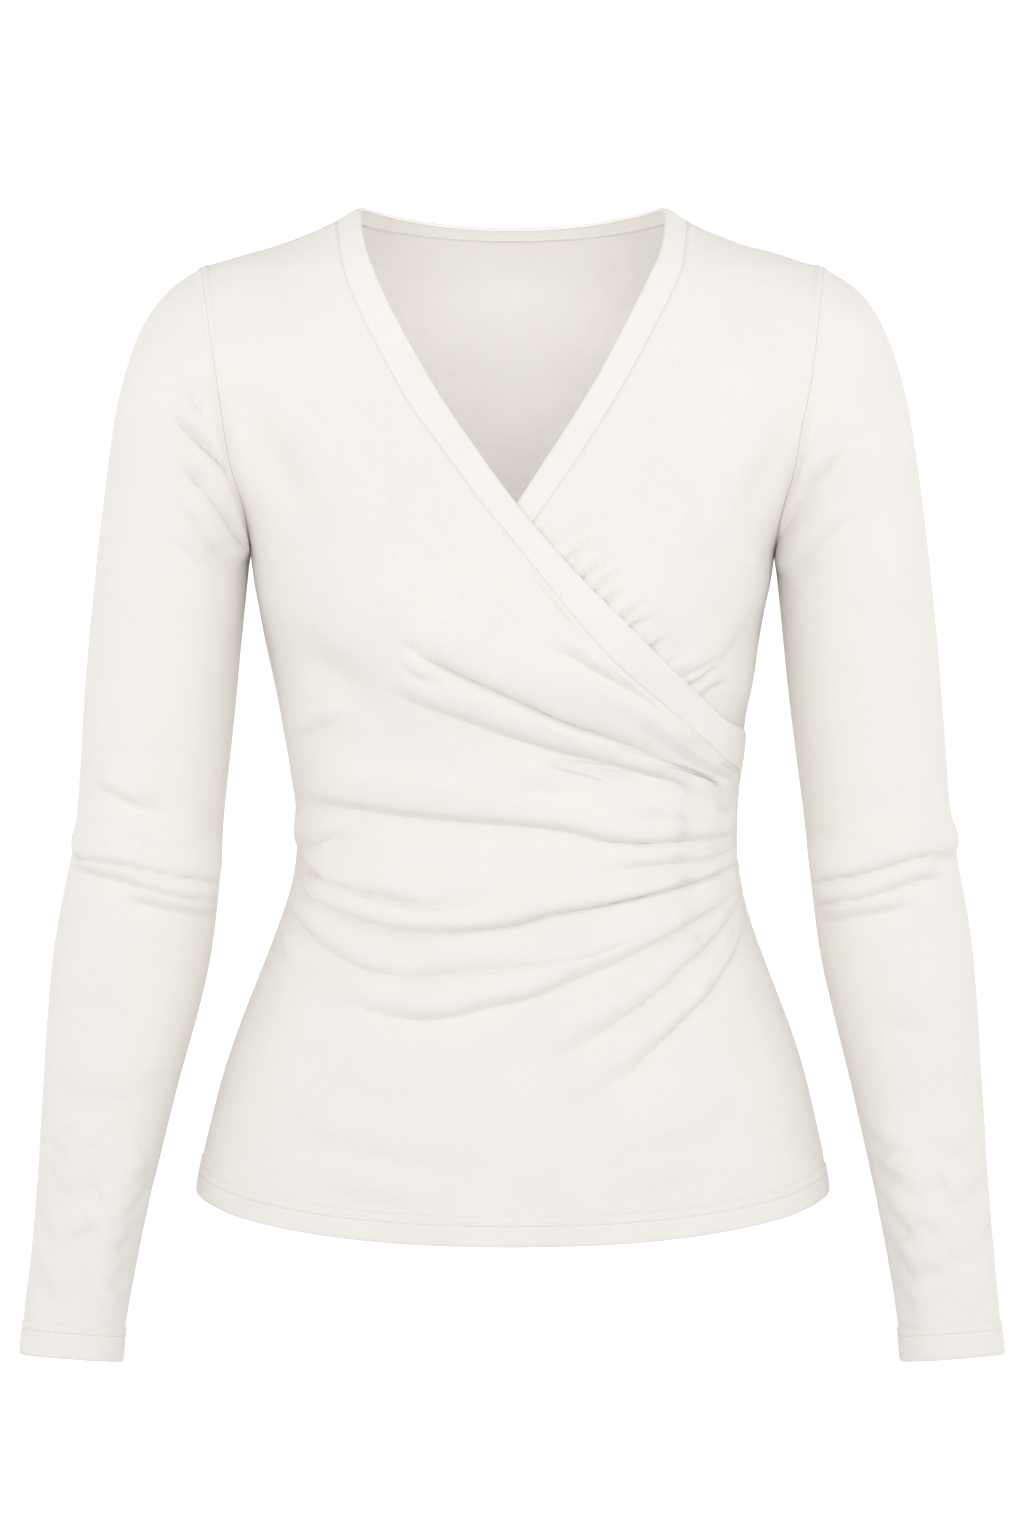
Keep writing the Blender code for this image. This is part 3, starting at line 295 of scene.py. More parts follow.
# Creases of the sleeves, as seen through from the front onto their rear side.
REAR_SLEEVE = [
    (1.5, 9.0, 0.6, 0.35, 0.20, 0.4, [(-196, 126), (-180, 142), (-166, 162), (-155, 184)]),
    (1.2, 9.0, 0.5, 0.40, 0.25, 0.4, [(-190, 166), (-174, 182), (-160, 204)]),
    (1.9, 10.0, 0.9, 0.12, 0.35, 0.6, [(-254, 366), (-232, 372), (-206, 374), (-182, 372)]),
    (1.7, 8.0, 0.8, 0.20, 0.15, 0.6, [(-250, 386), (-226, 394), (-198, 398), (-173, 396)]),
    (1.2, 9.0, 0.5, 0.15, 0.50, 0.4, [(-260, 400), (-238, 410), (-214, 414)]),
    (1.1, 9.0, 0.5, 0.15, 0.60, 0.3, [(-271, 540), (-258, 552), (-240, 560)]),
    (1.0, 9.0, 0.5, 0.60, 0.15, 0.3, [(-236, 586), (-220, 578), (-206, 562)]),
    (1.0, 9.0, 0.4, 0.15, 0.60, 0.3, [(-276, 590), (-266, 604), (-250, 614)]),
]

# Broad shallow hollows and swells: x, drop, half length, half width, depth (out is +) and
# the turn of the long axis, degrees clockwise from level.
SWELLS_FRONT = table(
    "x drop wide tall depth turn",
    (-136, 148, 38, 14, -7.0, 62), (148, 152, 30, 10, -4.4, -62), (-76, 208, 44, 40, 5.0, 0),
    (80, 194, 46, 42, 4.0, 0), (-106, 270, 36, 15, -6.6, 30), (132, 252, 26, 10, -3.8, -50),
    (-116, 296, 14, 5, 1.2, -34), (-104, 305, 18, 6, -1.6, -30),
    (-40, 322, 46, 13, 0.9, 0), (40, 385, 30, 7, 0.6, 0), (0, 520, 50, 22, 0.8, 0),
    (-96, 500, 26, 12, 0.4, 0), (92, 498, 30, 16, 0.6, 0))


FOLD_STRENGTH, SLEEVE_FOLD_STRENGTH, BACK_FOLD_STRENGTH = 2.2, 2.4, 2.0


# ------------------------------------------------------------------ maths
def along(tab, key, col, at):
    """Smooth monotone interpolation through a table."""
    xs, ys = tab[key], tab[col]
    at = np.clip(np.asarray(at, float), xs[0], xs[-1])
    d = np.diff(ys) / np.diff(xs)
    m = np.empty_like(ys)
    m[0], m[-1] = d[0], d[-1]
    a, b = d[:-1], d[1:]
    both = np.where(np.abs(a + b) < 1e-12, 1.0, a + b)
    m[1:-1] = np.where(a * b <= 0, 0.0, 2 * a * b / both)
    i = np.clip(np.searchsorted(xs, at, side="right") - 1, 0, len(xs) - 2)
    h = xs[i + 1] - xs[i]
    t = (at - xs[i]) / h
    return ((1 + 2 * t) * (1 - t) ** 2 * ys[i] + t * (1 - t) ** 2 * h * m[i]
            + t * t * (3 - 2 * t) * ys[i + 1] + t * t * (t - 1) * h * m[i + 1])


def blur_line(values, sigma):
    """Gaussian blur that keeps the slope at both ends."""
    n = int(math.ceil(3 * sigma))
    if n < 1:
        return values
    n = min(n, len(values) - 1)
    kernel = np.exp(-0.5 * (np.arange(-n, n + 1) / sigma) ** 2)
    kernel /= kernel.sum()
    head = 2 * values[0] - values[n:0:-1]
    tail = 2 * values[-1] - values[-2:-n - 2:-1]
    return np.convolve(np.concatenate([head, values, tail]), kernel, mode="valid")


def curve(tab, key, col, soft=0.0):
    """A table as a function, softened by a blur of the given width in mm."""
    xs = np.arange(tab[key][0], tab[key][-1] + 0.5, 1.0)
    ys = along(tab, key, col, xs)
    if soft:
        ys = blur_line(ys, soft)
    return lambda at: np.interp(at, xs, ys)


def ease(t):
    t = np.clip(t, 0.0, 1.0)
    return t * t * (3 - 2 * t)


width_right = curve(BODY_WIDTH, "drop", "right", 6)
width_left = curve(BODY_WIDTH, "drop", "left", 6)
depth_front = curve(BODY_DEPTH, "drop", "front", 14)
depth_back = curve(BODY_DEPTH, "drop", "back", 14)
shoulder_drop = curve(SHOULDER_LINE, "x", "drop", 4)
arm_right = curve(ARMHOLE_RIGHT, "drop", "x", 4)
arm_left = curve(ARMHOLE_LEFT, "drop", "x", 4)
right_free, right_seam = curve(RIGHT_FREE, "drop", "x", 5), curve(RIGHT_SEAM, "drop", "x", 5)
left_free, left_seam = curve(LEFT_FREE, "drop", "x", 5), curve(LEFT_SEAM, "drop", "x", 5)
hem_drop = curve(HEM, "x", "drop", 5)


def roll(x, drop):
    t = np.clip((drop - shoulder_drop(np.abs(x))) / SHOULDER_ROLL, 0, 1)
    return np.sqrt(1 - (1 - t) ** 2)


def arm_edge(drop, sign):
    return np.where(sign < 0, arm_right(drop), arm_left(drop))


def half_width(drop, sign, back):
    """Half width of the body's section, or above the armhole's bottom that of the oval
    through the armhole's edge."""
    drop = np.asarray(drop, float)
    low = np.where(sign < 0, width_right(drop), width_left(drop))
    at = np.clip(drop, TIP_DROP + 0.5, ARM_DROP)
    middle, half = (TIP_DROP + ARM_DROP) / 2, (ARM_DROP - TIP_DROP) / 2
    bow = np.sqrt(np.maximum(0, 1 - ((at - middle) / half) ** 2))
    edge = arm_edge(at, sign)
    reach = (depth_back if back else depth_front)(at)
    share = np.minimum((ARM_BACK if back else ARM_FRONT) * bow / (reach * roll(edge, at)), 0.93)
    return np.where(drop >= ARM_DROP, low, edge / (1 - share ** OVAL) ** (1 / OVAL))


def reach_at(x, drop, back):
    reach = (depth_back if back else depth_front)(drop) * roll(x, drop)
    if not back:
        across = (np.abs(x) - 78) / 36
        down = (drop - 232) / np.where(drop > 232, 36.0, 52.0)
        reach = reach + 11 * np.exp(-0.5 * (across ** 2 + down ** 2))
    return reach


def angle_of(x, drop, back):
    part = np.clip(np.abs(x) / half_width(drop, np.sign(x), back), 0, 1) ** (OVAL / 2)
    return np.sign(x) * np.arcsin(part)


def on_body(angle, drop, back):
    """Points of the body's surface from an angle round it and a drop."""
    x = np.sign(angle) * half_width(drop, np.sign(angle), back) * np.abs(np.sin(angle)) ** (2 / OVAL)
    y = reach_at(x, drop, back) * np.abs(np.cos(angle)) ** (2 / OVAL)
    return np.stack([x, y if back else -y, -drop * np.ones_like(x)], axis=-1)


def side_edge(drop, sign):
    return sign * np.where(drop < ARM_DROP, arm_edge(np.clip(drop, TIP_DROP, ARM_DROP), sign),
                           half_width(drop, sign, False))


def smooth_path(points, step=2.0):
    """A smooth line through a few points, resampled at even steps."""
    p = np.array(points, float)
    p = np.vstack([2 * p[0] - p[1], p, 2 * p[-1] - p[-2]])
    out = []
    for i in range(1, len(p) - 2):
        t = np.linspace(0, 1, 24, endpoint=False)[:, None]
        a, b, c, d = p[i - 1], p[i], p[i + 1], p[i + 2]
        out.append(0.5 * (2 * b + (c - a) * t + (2 * a - 5 * b + 4 * c - d) * t ** 2
                          + (3 * b - a - 3 * c + d) * t ** 3))
    out = np.vstack(out + [p[-2][None]])
    return resample(out, step)


def resample(line, step):
    gaps = np.linalg.norm(np.diff(line, axis=0), axis=1)
    far = np.concatenate([[0], np.cumsum(gaps)])
    count = max(2, int(round(far[-1] / step)) + 1)
    at = np.linspace(0, far[-1], count)
    return np.stack([np.interp(at, far, line[:, k]) for k in range(line.shape[1])], axis=1)


def to_path(x, drop, path, margin):
    """Signed distance above a path, and place along it from 0 to 1, for points near it."""
    low, high = path.min(axis=0) - margin, path.max(axis=0) + margin
    near = (x > low[0]) & (x < high[0]) & (drop > low[1]) & (drop < high[1])
    if not near.any():
        return near, None, None
    pts = np.stack([x[near], drop[near]], axis=1)
    tangent = np.gradient(path, axis=0)
    tangent /= np.linalg.norm(tangent, axis=1)[:, None]
    index = np.empty(len(pts), int)
    for k in range(0, len(pts), 20000):
        gap = pts[k:k + 20000, None, :] - path[None, :, :]
        index[k:k + 20000] = np.argmin((gap ** 2).sum(axis=2), axis=1)
    off = pts - path[index]
    t = tangent[index]
    step = np.linalg.norm(path[1] - path[0])
    shift = (off * t).sum(axis=1) / step
    above = off[:, 0] * t[:, 1] - off[:, 1] * t[:, 0]
    last = len(path) - 1
    beyond = np.maximum(0, np.maximum(-(index + shift), index + shift - last)) * step
    place = np.clip((index + shift) / last, 0, 1)
    return near, above, place, beyond


def crease_lift(creases, x, drop, narrow=0.35, strong=1.0, free=None, room=1.0):
    """Height of all creases of a list over points of a surface. free, from 0 to 1, says
    how far the cloth there is from a seam that holds it flat, and room, from 0 to 1, how
    deep the folds are there."""
    total = np.zeros_like(x)
    for rise, reach, cut, start, end, crisp, points in creases:
        path = smooth_path(points)
        found = to_path(x, drop, path, 3.6 * reach)
        if found[1] is None:
            continue
        near, above, place, beyond = found
        fade = ease((place + 0.02) / max(start, 0.02)) * ease((1.02 - place) / max(end, 0.02))
        fade = fade * np.exp(-(beyond / (0.6 * reach)) ** 2)
        gathered = end < 0.1
        size = reach * (1 - narrow * ease(place) * gathered)
        keen = crisp
        if gathered:
            keen = crisp * (0.45 + 0.55 * ease(place / 0.5)) * (1 - 0.5 * ease((place - 0.85) / 0.15))
        t = np.clip(above / size, 0, 1)
        p = 1.75
        sharp = (1 - (1 - t) ** p) ** (1 / p)
        soft = np.sin(0.5 * np.pi * t) ** 2
        ridge = keen * sharp + (1 - keen) * soft
        ridge = np.where(above > size, np.exp(-((above - size) / (1.35 * size)) ** 2), ridge)
        ridge = np.where(above < 0, 0, ridge)
        # the valley is steeper on its lower side, and a crisp one closes to a slit
        wide = np.where(above > 0, 0.42, 0.42 - 0.20 * keen) * size
        valley = np.exp(-(above / wide) ** 2) + 0.45 * keen ** 2 * np.exp(-(above / 0.9) ** 2)
        hold = 1.0 if free is None else free[near]
        # the cloth also swells and sinks softly over a wider band on each side
        broad = (0.50 * np.exp(-((above - 1.35 * size) / (1.3 * size)) ** 2)
                 - 0.42 * np.exp(-((above + 0.25 * size) / (1.1 * size)) ** 2))
        if gathered:
            broad = broad * (1 - 0.75 * ease((place - 0.35) / 0.5))
        total[near] += strong * fade * hold * (rise * (1.1 * ridge + broad) - 0.8 * cut * valley)
    # where many run together they press each other flat
    total = total * room
    return np.where(total > 0, 6.0 * np.tanh(total / 6.0), 4.0 * np.tanh(total / 4.0))


def swell_lift(tab, x, drop):
    total = np.zeros_like(x)
    for k in range(len(tab["x"])):
        turn = math.radians(tab["turn"][k])
        dx, dd = x - tab["x"][k], drop - tab["drop"][k]
        total += tab["depth"][k] * np.exp(
            -((dx * math.cos(turn) + dd * math.sin(turn)) / tab["wide"][k]) ** 2
            - ((dd * math.cos(turn) - dx * math.sin(turn)) / tab["tall"][k]) ** 2)
    return total


def waves(x, drop, seed, size, low):
    """Faint uneven undulation, the same every run."""
    rng = np.random.default_rng(seed)
    total = np.zeros_like(x)
    for _ in range(14):
        turn = rng.uniform(0, 2 * np.pi)
        length = low * rng.uniform(0.7, 2.2)
        phase = rng.uniform(0, 2 * np.pi)
        total += np.sin(2 * np.pi * (x * math.cos(turn) + drop * math.sin(turn)) / length + phase)
    return total * size / 3.7


# ------------------------------------------------------------------ grids
def normals_of(grid):
    du = np.gradient(grid, axis=1)
    dv = np.gradient(grid, axis=0)
    n = np.cross(du, dv)
    return n / np.maximum(np.linalg.norm(n, axis=2), 1e-9)[..., None]


def facing_out(n, grid, centre):
    return n if ((grid - centre) * n).sum(axis=2).mean() > 0 else -n


def arc_from(grid, axis, from_end):
    """Distance over the surface from the first or last row or column."""
    steps = np.linalg.norm(np.diff(grid, axis=axis), axis=2)
    if from_end:
        steps = np.flip(steps, axis)
    far = np.cumsum(steps, axis=axis)
    zero = np.zeros_like(np.take(far, [0], axis=axis))
    far = np.concatenate([zero, far], axis=axis)
    return np.flip(far, axis) if from_end else far


def edge_steps(lines, zone):
    """Distances from a turned edge at which a panel has rows: close at the edge itself
    and on both needle lines."""
    steps = [0.0, 0.5, 1.2, 2.2, 3.6, 5.2, 7.0, 8.8, 10.2]
    for line in lines:
        steps += [line - 0.9, line - 0.45, line, line + 0.45, line + 0.9]
    steps.append((lines[0] + lines[1]) / 2)
    steps += [lines[1] + 2.0, lines[1] + 3.2, zone]
    steps = sorted(steps)
    return np.array([a for k, a in enumerate(steps) if k == 0 or a - steps[k - 1] > 0.2])


def own_rows(last, zones):
    """Drops of the rows down the panel's own side: even over the rounded shoulder,
    then at the step of each zone (from, to, step), and those of the turned hem."""
    turn = np.linspace(0, np.pi / 2, 40)
    top = TIP_DROP + SHOULDER_ROLL * (1 - np.cos(turn))
    rows = [top]
    begin = top[-1] + zones[0][2]
    for _, stop, step in zones:
        rows.append(np.arange(begin, stop, step))
        begin = rows[-1][-1] + step
    rows = np.concatenate(rows)
    hem = last - edge_steps(HEM_LINES, 23.0)[::-1]
    return np.concatenate([rows[rows < hem[0] - 1.2], hem])


def draw_rows(x, low, creases, first, last):
    """Shifts of the rows, between two rows, that draw them together along the crisp
    creases. Each column keeps its number of rows."""
    extra = np.zeros_like(low)
    inside = 1 - ease((np.abs(x) - 72) / 40) * (1 - ease((low - 340) / 16))
    for rise, _, _, start, end, crisp, points in creases:
        if crisp < 0.65 or rise < 1.3:
            continue
        path = smooth_path(points)
        share = (x - path[0, 0]) / (path[-1, 0] - path[0, 0])
        fade = ease(share / max(start, 0.06)) * ease((1 - share) / max(end, 0.03))
        at = np.interp(x, path[:, 0], path[:, 1])
        extra += 2.0 * inside * fade * np.exp(-((low - at - 0.5) / 3.2) ** 2)
    moved = low.copy()
    span = slice(first, last + 1)
    number = np.arange(last - first + 1, dtype=float)
    for j in range(low.shape[1]):
        weight = 1 + extra[span, j]
        mass = np.concatenate([[0], np.cumsum((weight[1:] + weight[:-1]) / 2)])
        where = np.interp(number / number[-1] * mass[-1], mass, number)
        moved[span, j] = np.interp(where, number, low[span, j])
    return moved - low


def fade_top(own):
    return np.maximum(0, 1 - (own - TIP_DROP) / 110) ** 1.4


def hem_dip(x, drop, lift):
    return ease((drop - 430) / (HEM_CORNER - lift - 430)) * (hem_drop(np.abs(x)) - HEM_CORNER)


def fine_angles(start, end, count, near_start, near_end, drop, back):
    """Angles from start to end: close columns near each edge at fixed distances in mm."""
    def rate(angle, sign):
        d = 0.02
        a = on_body(angle, drop, back)
        b = on_body(angle + sign * d, drop, back)
        return np.linalg.norm(b - a, axis=-1) / d

    way = np.sign(end - start)
    head = [start + way * off / rate(start, way) for off in near_start]
    tail = [end - way * off / rate(end, -way) for off in near_end]
    a, b = head[-1], tail[0]
    inner = [a + (b - a) * k / count for k in range(1, count)]
    return np.stack(head + inner + tail, axis=-1)


NEAR_SIDE = (0, 0.5, 1.2, 2.0, 2.9, 4.0, 5.4)
NEAR_BAND = (9.0, 7.6, 6.4, 5.3, 4.4, 3.6, 2.9, 2.2, 1.6, 1.0, 0.5, 0)


def seam_end(drop):
    """How far a neckband's seam has turned onto the side seam."""
    return ease((drop - 314) / 19) ** 2


def far_angle(seam, sign):
    """Angle of a front's far edge as a function of drop: the neckband's seam rounds
    smoothly into the side seam."""
    at = np.arange(-10.0, 640.0, 0.25)
    x = np.where(at < SEAM_END, seam(np.maximum(at, SEAM_TOP)), side_edge(at, -sign))
    raw = angle_of(x, at, False)
    raw = raw + (-sign * np.pi / 2 - raw) * seam_end(at)
    soft = blur_line(raw, 4)
    mixed = raw + (soft - raw) * ease((at - 300) / 15)
    return lambda drop: np.interp(drop, at, mixed)


def front_grid(sign, seam, last, count, zones, creases):
    """Base grid of one front, with its rows running from its own side to the neckband
    seam and, lower down, to the far side seam."""
    own = own_rows(last, zones)
    fade = fade_top(own)[:, None]
    guess = np.linspace(0, 1, count + len(NEAR_SIDE) + len(NEAR_BAND) - 1)
    top = shoulder_drop(TIP_X + (FRONT_SEAM_X - TIP_X) * guess)[None, :]
    drop = own[:, None] + (top - TIP_DROP) * fade
    far_at = far_angle(seam, sign)
    # a first pass gives the drop across the row, the second the angles at that drop
    for stage in range(2):
        start = angle_of(side_edge(drop, sign), drop, False)
        end = np.where(drop < 150, angle_of(seam(drop), drop, False), far_at(drop))
        angles = np.empty_like(drop)
        for j in range(drop.shape[1]):
            row = fine_angles(start[:, j], end[:, j], count, NEAR_SIDE, NEAR_BAND, drop[:, j], False)
            angles[:, j] = row[:, j]
        x = on_body(angles, drop, False)[..., 0]
        low = drop + hem_dip(x, drop, HEM_CORNER - last)
        if stage == 0 and creases:
            first, final = np.searchsorted(own, 200.0), np.searchsorted(own, 528.0)
            drop = drop + draw_rows(x, low, creases, first, final)
        else:
            break
    grid = on_body(angles, low, False)
    # the top row is the shoulder seam itself
    grid[0, :, 1] = 0.0
    return grid, low


def edge_line(shape, column, low=0.0, high=1e9):
    """An edge column of a shaped grid as drops with their x and y."""
    pts = shape[:, column]
    drop = np.maximum.accumulate(-pts[:, 2])
    keep = (drop >= low) & (drop <= high)
    return drop[keep], pts[keep, 0], pts[keep, 1]


def meet(points, line):
    """Moves points level onto an edge line, so that two edges meet with no gap."""
    drop, x, y = line
    at = -points[:, 2]
    moved = points.copy()
    moved[:, 0] = np.interp(at, drop, x)
    moved[:, 1] = np.interp(at, drop, y)
    return moved


def side_groove(far, depth=0.3, width=0.8):
    return -depth * np.exp(-(far / width) ** 2)


def armhole_welt(far, drop):
    """The pressed seam of the armhole, wide and flat at the shoulder and narrower lower
    down, with the seam itself sunk in it; below the arm a plain side seam."""
    half = 1.0 + 2.2 * ease((112 - drop) / 62)
    flat = 0.75 * (1 - ease((far - half) / 0.9 + 0.5)) * ease((180 - drop) / 40)
    deep = 0.25 + 0.10 * ease((drop - 130) / 50)
    return flat - deep * np.exp(-(far / 0.6) ** 2)


def distance_to_edge(grid, column, columns):
    """Distance in space of the points of some columns from an edge column."""
    edge = resample(grid[:, column], 0.6)
    out = np.full(grid.shape[:2], 99.0)
    for j in columns:
        gap = grid[:, j, None, :] - edge[None, :, :]
        out[:, j] = np.sqrt((gap ** 2).sum(axis=2).min(axis=1))
    return out


def held_flat(x, drop):
    """0 on a side seam, 1 a little way from it."""
    return ease((np.pi / 2 - np.abs(angle_of(x, drop, False)) - 0.03) / 0.20)


def make_mesh(name, grid, wall, thick=None, uv=None, closed=False, material=None, flip=False):
    """A sheet with its face outwards, given a wall on its inner side by Solidify."""
    rows, cols = grid.shape[:2]
    verts = (grid.reshape(-1, 3) * MM).astype(np.float64)
    index = np.arange(rows * cols).reshape(rows, cols)
    if closed:
        index = np.concatenate([index, index[:, :1]], axis=1)
    a, b, c, d = index[:-1, :-1], index[1:, :-1], index[1:, 1:], index[:-1, 1:]
    faces = np.stack([a, b, c, d], axis=-1).reshape(-1, 4)
    if flip:
        faces = faces[:, ::-1]
    mesh = bpy.data.meshes.new(name)
    mesh.from_pydata(verts.tolist(), [], faces.tolist())
    mesh.update()
    if uv is None:
        u = arc_from(grid, 1, False)
        v = arc_from(grid, 0, True)
        u = u - u[:, u.shape[1] // 2][:, None]
        uv = np.stack([u, v], axis=-1)
    layer = mesh.uv_layers.new(name="cloth")
    loops = np.empty(len(mesh.loops), np.int32)
    mesh.loops.foreach_get("vertex_index", loops)
    flat = (uv.reshape(-1, 2) * MM)[loops]
    layer.data.foreach_set("uv", flat.astype(np.float32).ravel())
    mesh.shade_smooth()
    piece = bpy.data.objects.new(name, mesh)
    bpy.context.scene.collection.objects.link(piece)
    if material is not None:
        mesh.materials.append(material)
    solid = piece.modifiers.new("Wall", "SOLIDIFY")
    solid.thickness = wall * MM
    solid.offset = -1.0
    if thick is not None:
        group = piece.vertex_groups.new(name="wall")
        flat_thick = thick.ravel()
        for value in np.unique(np.round(flat_thick, 2)):
            chosen = np.nonzero(np.round(flat_thick, 2) == value)[0].tolist()
            group.add(chosen, float(value), "REPLACE")
        solid.vertex_group = "wall"
    return piece


def panel_uv(grid, start):
    """Lengths around the body and up it, measured from the upright line x = start."""
    step = np.linalg.norm(np.diff(grid[..., :2], axis=1), axis=-1)
    around = np.concatenate([np.zeros((len(grid), 1)), np.cumsum(step, axis=1)], axis=1)
    way = np.sign(grid[-1, -1, 0] - grid[-1, 0, 0])
    zero = [np.interp(start * way, line * way, row) for line, row in zip(grid[..., 0], around)]
    return np.stack([around - np.array(zero)[:, None], grid[..., 2]], axis=-1)


def orient(grid, centre):
    """True if the faces made from this grid would look inwards."""
    n = normals_of(grid)
    # faces a,b,c,d run down then across: their normal is down x across = -(across x down)
    return ((grid - centre) * n).sum(axis=2).mean() > 0


# ------------------------------------------------------------------ materials
def new_material(name):
    material = bpy.data.materials.new(name)
    material.use_nodes = True
    tree = material.node_tree
    shader = tree.nodes["Principled BSDF"]
    return material, tree, shader


def knit_material(name, colour, wale, course, depth, sheen):
    """Fine jersey: wales and courses as a small relief over the piece's own UV map,
    a little fuzz, and a very slight unevenness of the yarn's colour."""
    material, tree, shader = new_material(name)
    n, link = tree.nodes, tree.links

    def maths(op, a, b=None, c=None):
        node = n.new("ShaderNodeMath")
        node.operation = op
        for slot, value in zip(node.inputs, (a, b, c)):
            if value is None:
                continue
            if isinstance(value, (int, float)):
                slot.default_value = value
            else:
                link.new(value, slot)
        return node.outputs[0]

    uv = n.new("ShaderNodeUVMap")
    uv.uv_map = "cloth"
    apart = n.new("ShaderNodeSeparateXYZ")
    link.new(uv.outputs[0], apart.inputs[0])
    across = maths("DIVIDE", apart.outputs[0], wale)
    down = maths("DIVIDE", apart.outputs[1], course)
    # each wale is a column of small V shapes
    leg = maths("ABSOLUTE", maths("SUBTRACT", maths("FRACT", across), 0.5))
    vee = maths("SINE", maths("MULTIPLY", maths("ADD", down, maths("MULTIPLY", leg, 1.3)), 2 * math.pi))
    column = maths("SINE", maths("MULTIPLY", maths("FRACT", across), math.pi))
    relief = maths("MULTIPLY", column, maths("ADD", maths("MULTIPLY", vee, 0.35), 0.65))
    # the loops lean, which draws faint diagonal lines over the face of the cloth
    lean = maths("MULTIPLY", maths("ADD", apart.outputs[0], maths("MULTIPLY", apart.outputs[1], 0.85)), 2 * math.pi / 0.0011)
    lean = maths("ADD", maths("MULTIPLY", maths("SINE", lean), 0.5), 0.5)

    coords = n.new("ShaderNodeTexCoord")
    fuzz = n.new("ShaderNodeTexNoise")
    fuzz.inputs["Scale"].default_value = 1400.0
    fuzz.inputs["Detail"].default_value = 2.0
    link.new(coords.outputs["Object"], fuzz.inputs["Vector"])
    soft = n.new("ShaderNodeTexNoise")
    soft.inputs["Scale"].default_value = 260.0
    soft.inputs["Detail"].default_value = 3.0
    link.new(coords.outputs["Object"], soft.inputs["Vector"])
    height = maths("ADD", maths("ADD", maths("MULTIPLY", relief, 0.6), maths("MULTIPLY", lean, 0.5)),
                   maths("ADD", maths("MULTIPLY", fuzz.outputs[0], 0.35), maths("MULTIPLY", soft.outputs[0], 0.6)))
    bump = n.new("ShaderNodeBump")
    bump.inputs["Strength"].default_value = 0.5
    bump.inputs["Distance"].default_value = depth
    link.new(height, bump.inputs["Height"])
    link.new(bump.outputs[0], shader.inputs["Normal"])

    patch = n.new("ShaderNodeTexNoise")
    patch.inputs["Scale"].default_value = 34.0
    patch.inputs["Detail"].default_value = 4.0
    link.new(coords.outputs["Object"], patch.inputs["Vector"])
    blend = maths("ADD", maths("MULTIPLY", patch.outputs[0], 0.32),
                  maths("ADD", maths("MULTIPLY", fuzz.outputs[0], 0.40), maths("MULTIPLY", lean, 0.30)))
    ramp = n.new("ShaderNodeValToRGB")
    dark = tuple(c * 0.955 for c in colour)
    light = tuple(min(1.0, c * 1.035) for c in colour)
    ramp.color_ramp.elements[0].position = 0.18
    ramp.color_ramp.elements[0].color = (*dark, 1)
    ramp.color_ramp.elements[1].position = 0.76
    ramp.color_ramp.elements[1].color = (*light, 1)
    link.new(blend, ramp.inputs[0])
    link.new(ramp.outputs[0], shader.inputs["Base Color"])
    shader.inputs["Roughness"].default_value = 0.88
    shader.inputs["Specular IOR Level"].default_value = 0.22
    shader.inputs["Sheen Weight"].default_value = sheen
    shader.inputs["Sheen Roughness"].default_value = 0.55
    shader.inputs["Sheen Tint"].default_value = (1.0, 0.985, 0.96, 1)
    return material


def thread_material(name, colour):
    material, tree, shader = new_material(name)
    n, link = tree.nodes, tree.links
    coords = n.new("ShaderNodeTexCoord")
    twist = n.new("ShaderNodeTexWave")
    twist.inputs["Scale"].default_value = 900.0
    twist.inputs["Distortion"].default_value = 1.5
    link.new(coords.outputs["Object"], twist.inputs["Vector"])
    ramp = n.new("ShaderNodeValToRGB")
    ramp.color_ramp.elements[0].color = (*(c * 0.93 for c in colour), 1)
    ramp.color_ramp.elements[1].color = (*colour, 1)
    link.new(twist.outputs["Fac"], ramp.inputs[0])
    link.new(ramp.outputs[0], shader.inputs["Base Color"])
    shader.inputs["Roughness"].default_value = 0.6
    shader.inputs["Sheen Weight"].default_value = 0.2
    return material


JERSEY = knit_material("jersey knit", (0.893, 0.862, 0.821), 0.00085, 0.00062, 0.00022, 0.12)
BAND = knit_material("neckband knit", (0.910, 0.882, 0.844), 0.00085, 0.00062, 0.00020, 0.12)
THREAD = thread_material("sewing thread", (0.90, 0.875, 0.835))
# darker thread for the hem, cuff and inner neck stitches: its dark brown is painted shadow in and around the stitches
STITCH_SHADOW_THREAD = thread_material("thread painted with stitch shadow", (0.66, 0.60, 0.52))
pieces = {}


# ------------------------------------------------------------------ stitches
def offset_path(grid, axis, from_end, distance):
    """The line on a grid that runs at a set distance from one of its edges."""
    far = arc_from(grid, axis, from_end)
    if axis == 0:
        grid, far = grid.transpose(1, 0, 2), far.T
    line = []
    for pts, d in zip(grid, far):
        if from_end:
            pts, d = pts[::-1], d[::-1]
        line.append([np.interp(distance, d, pts[:, k]) for k in range(3)])
    return np.array(line)


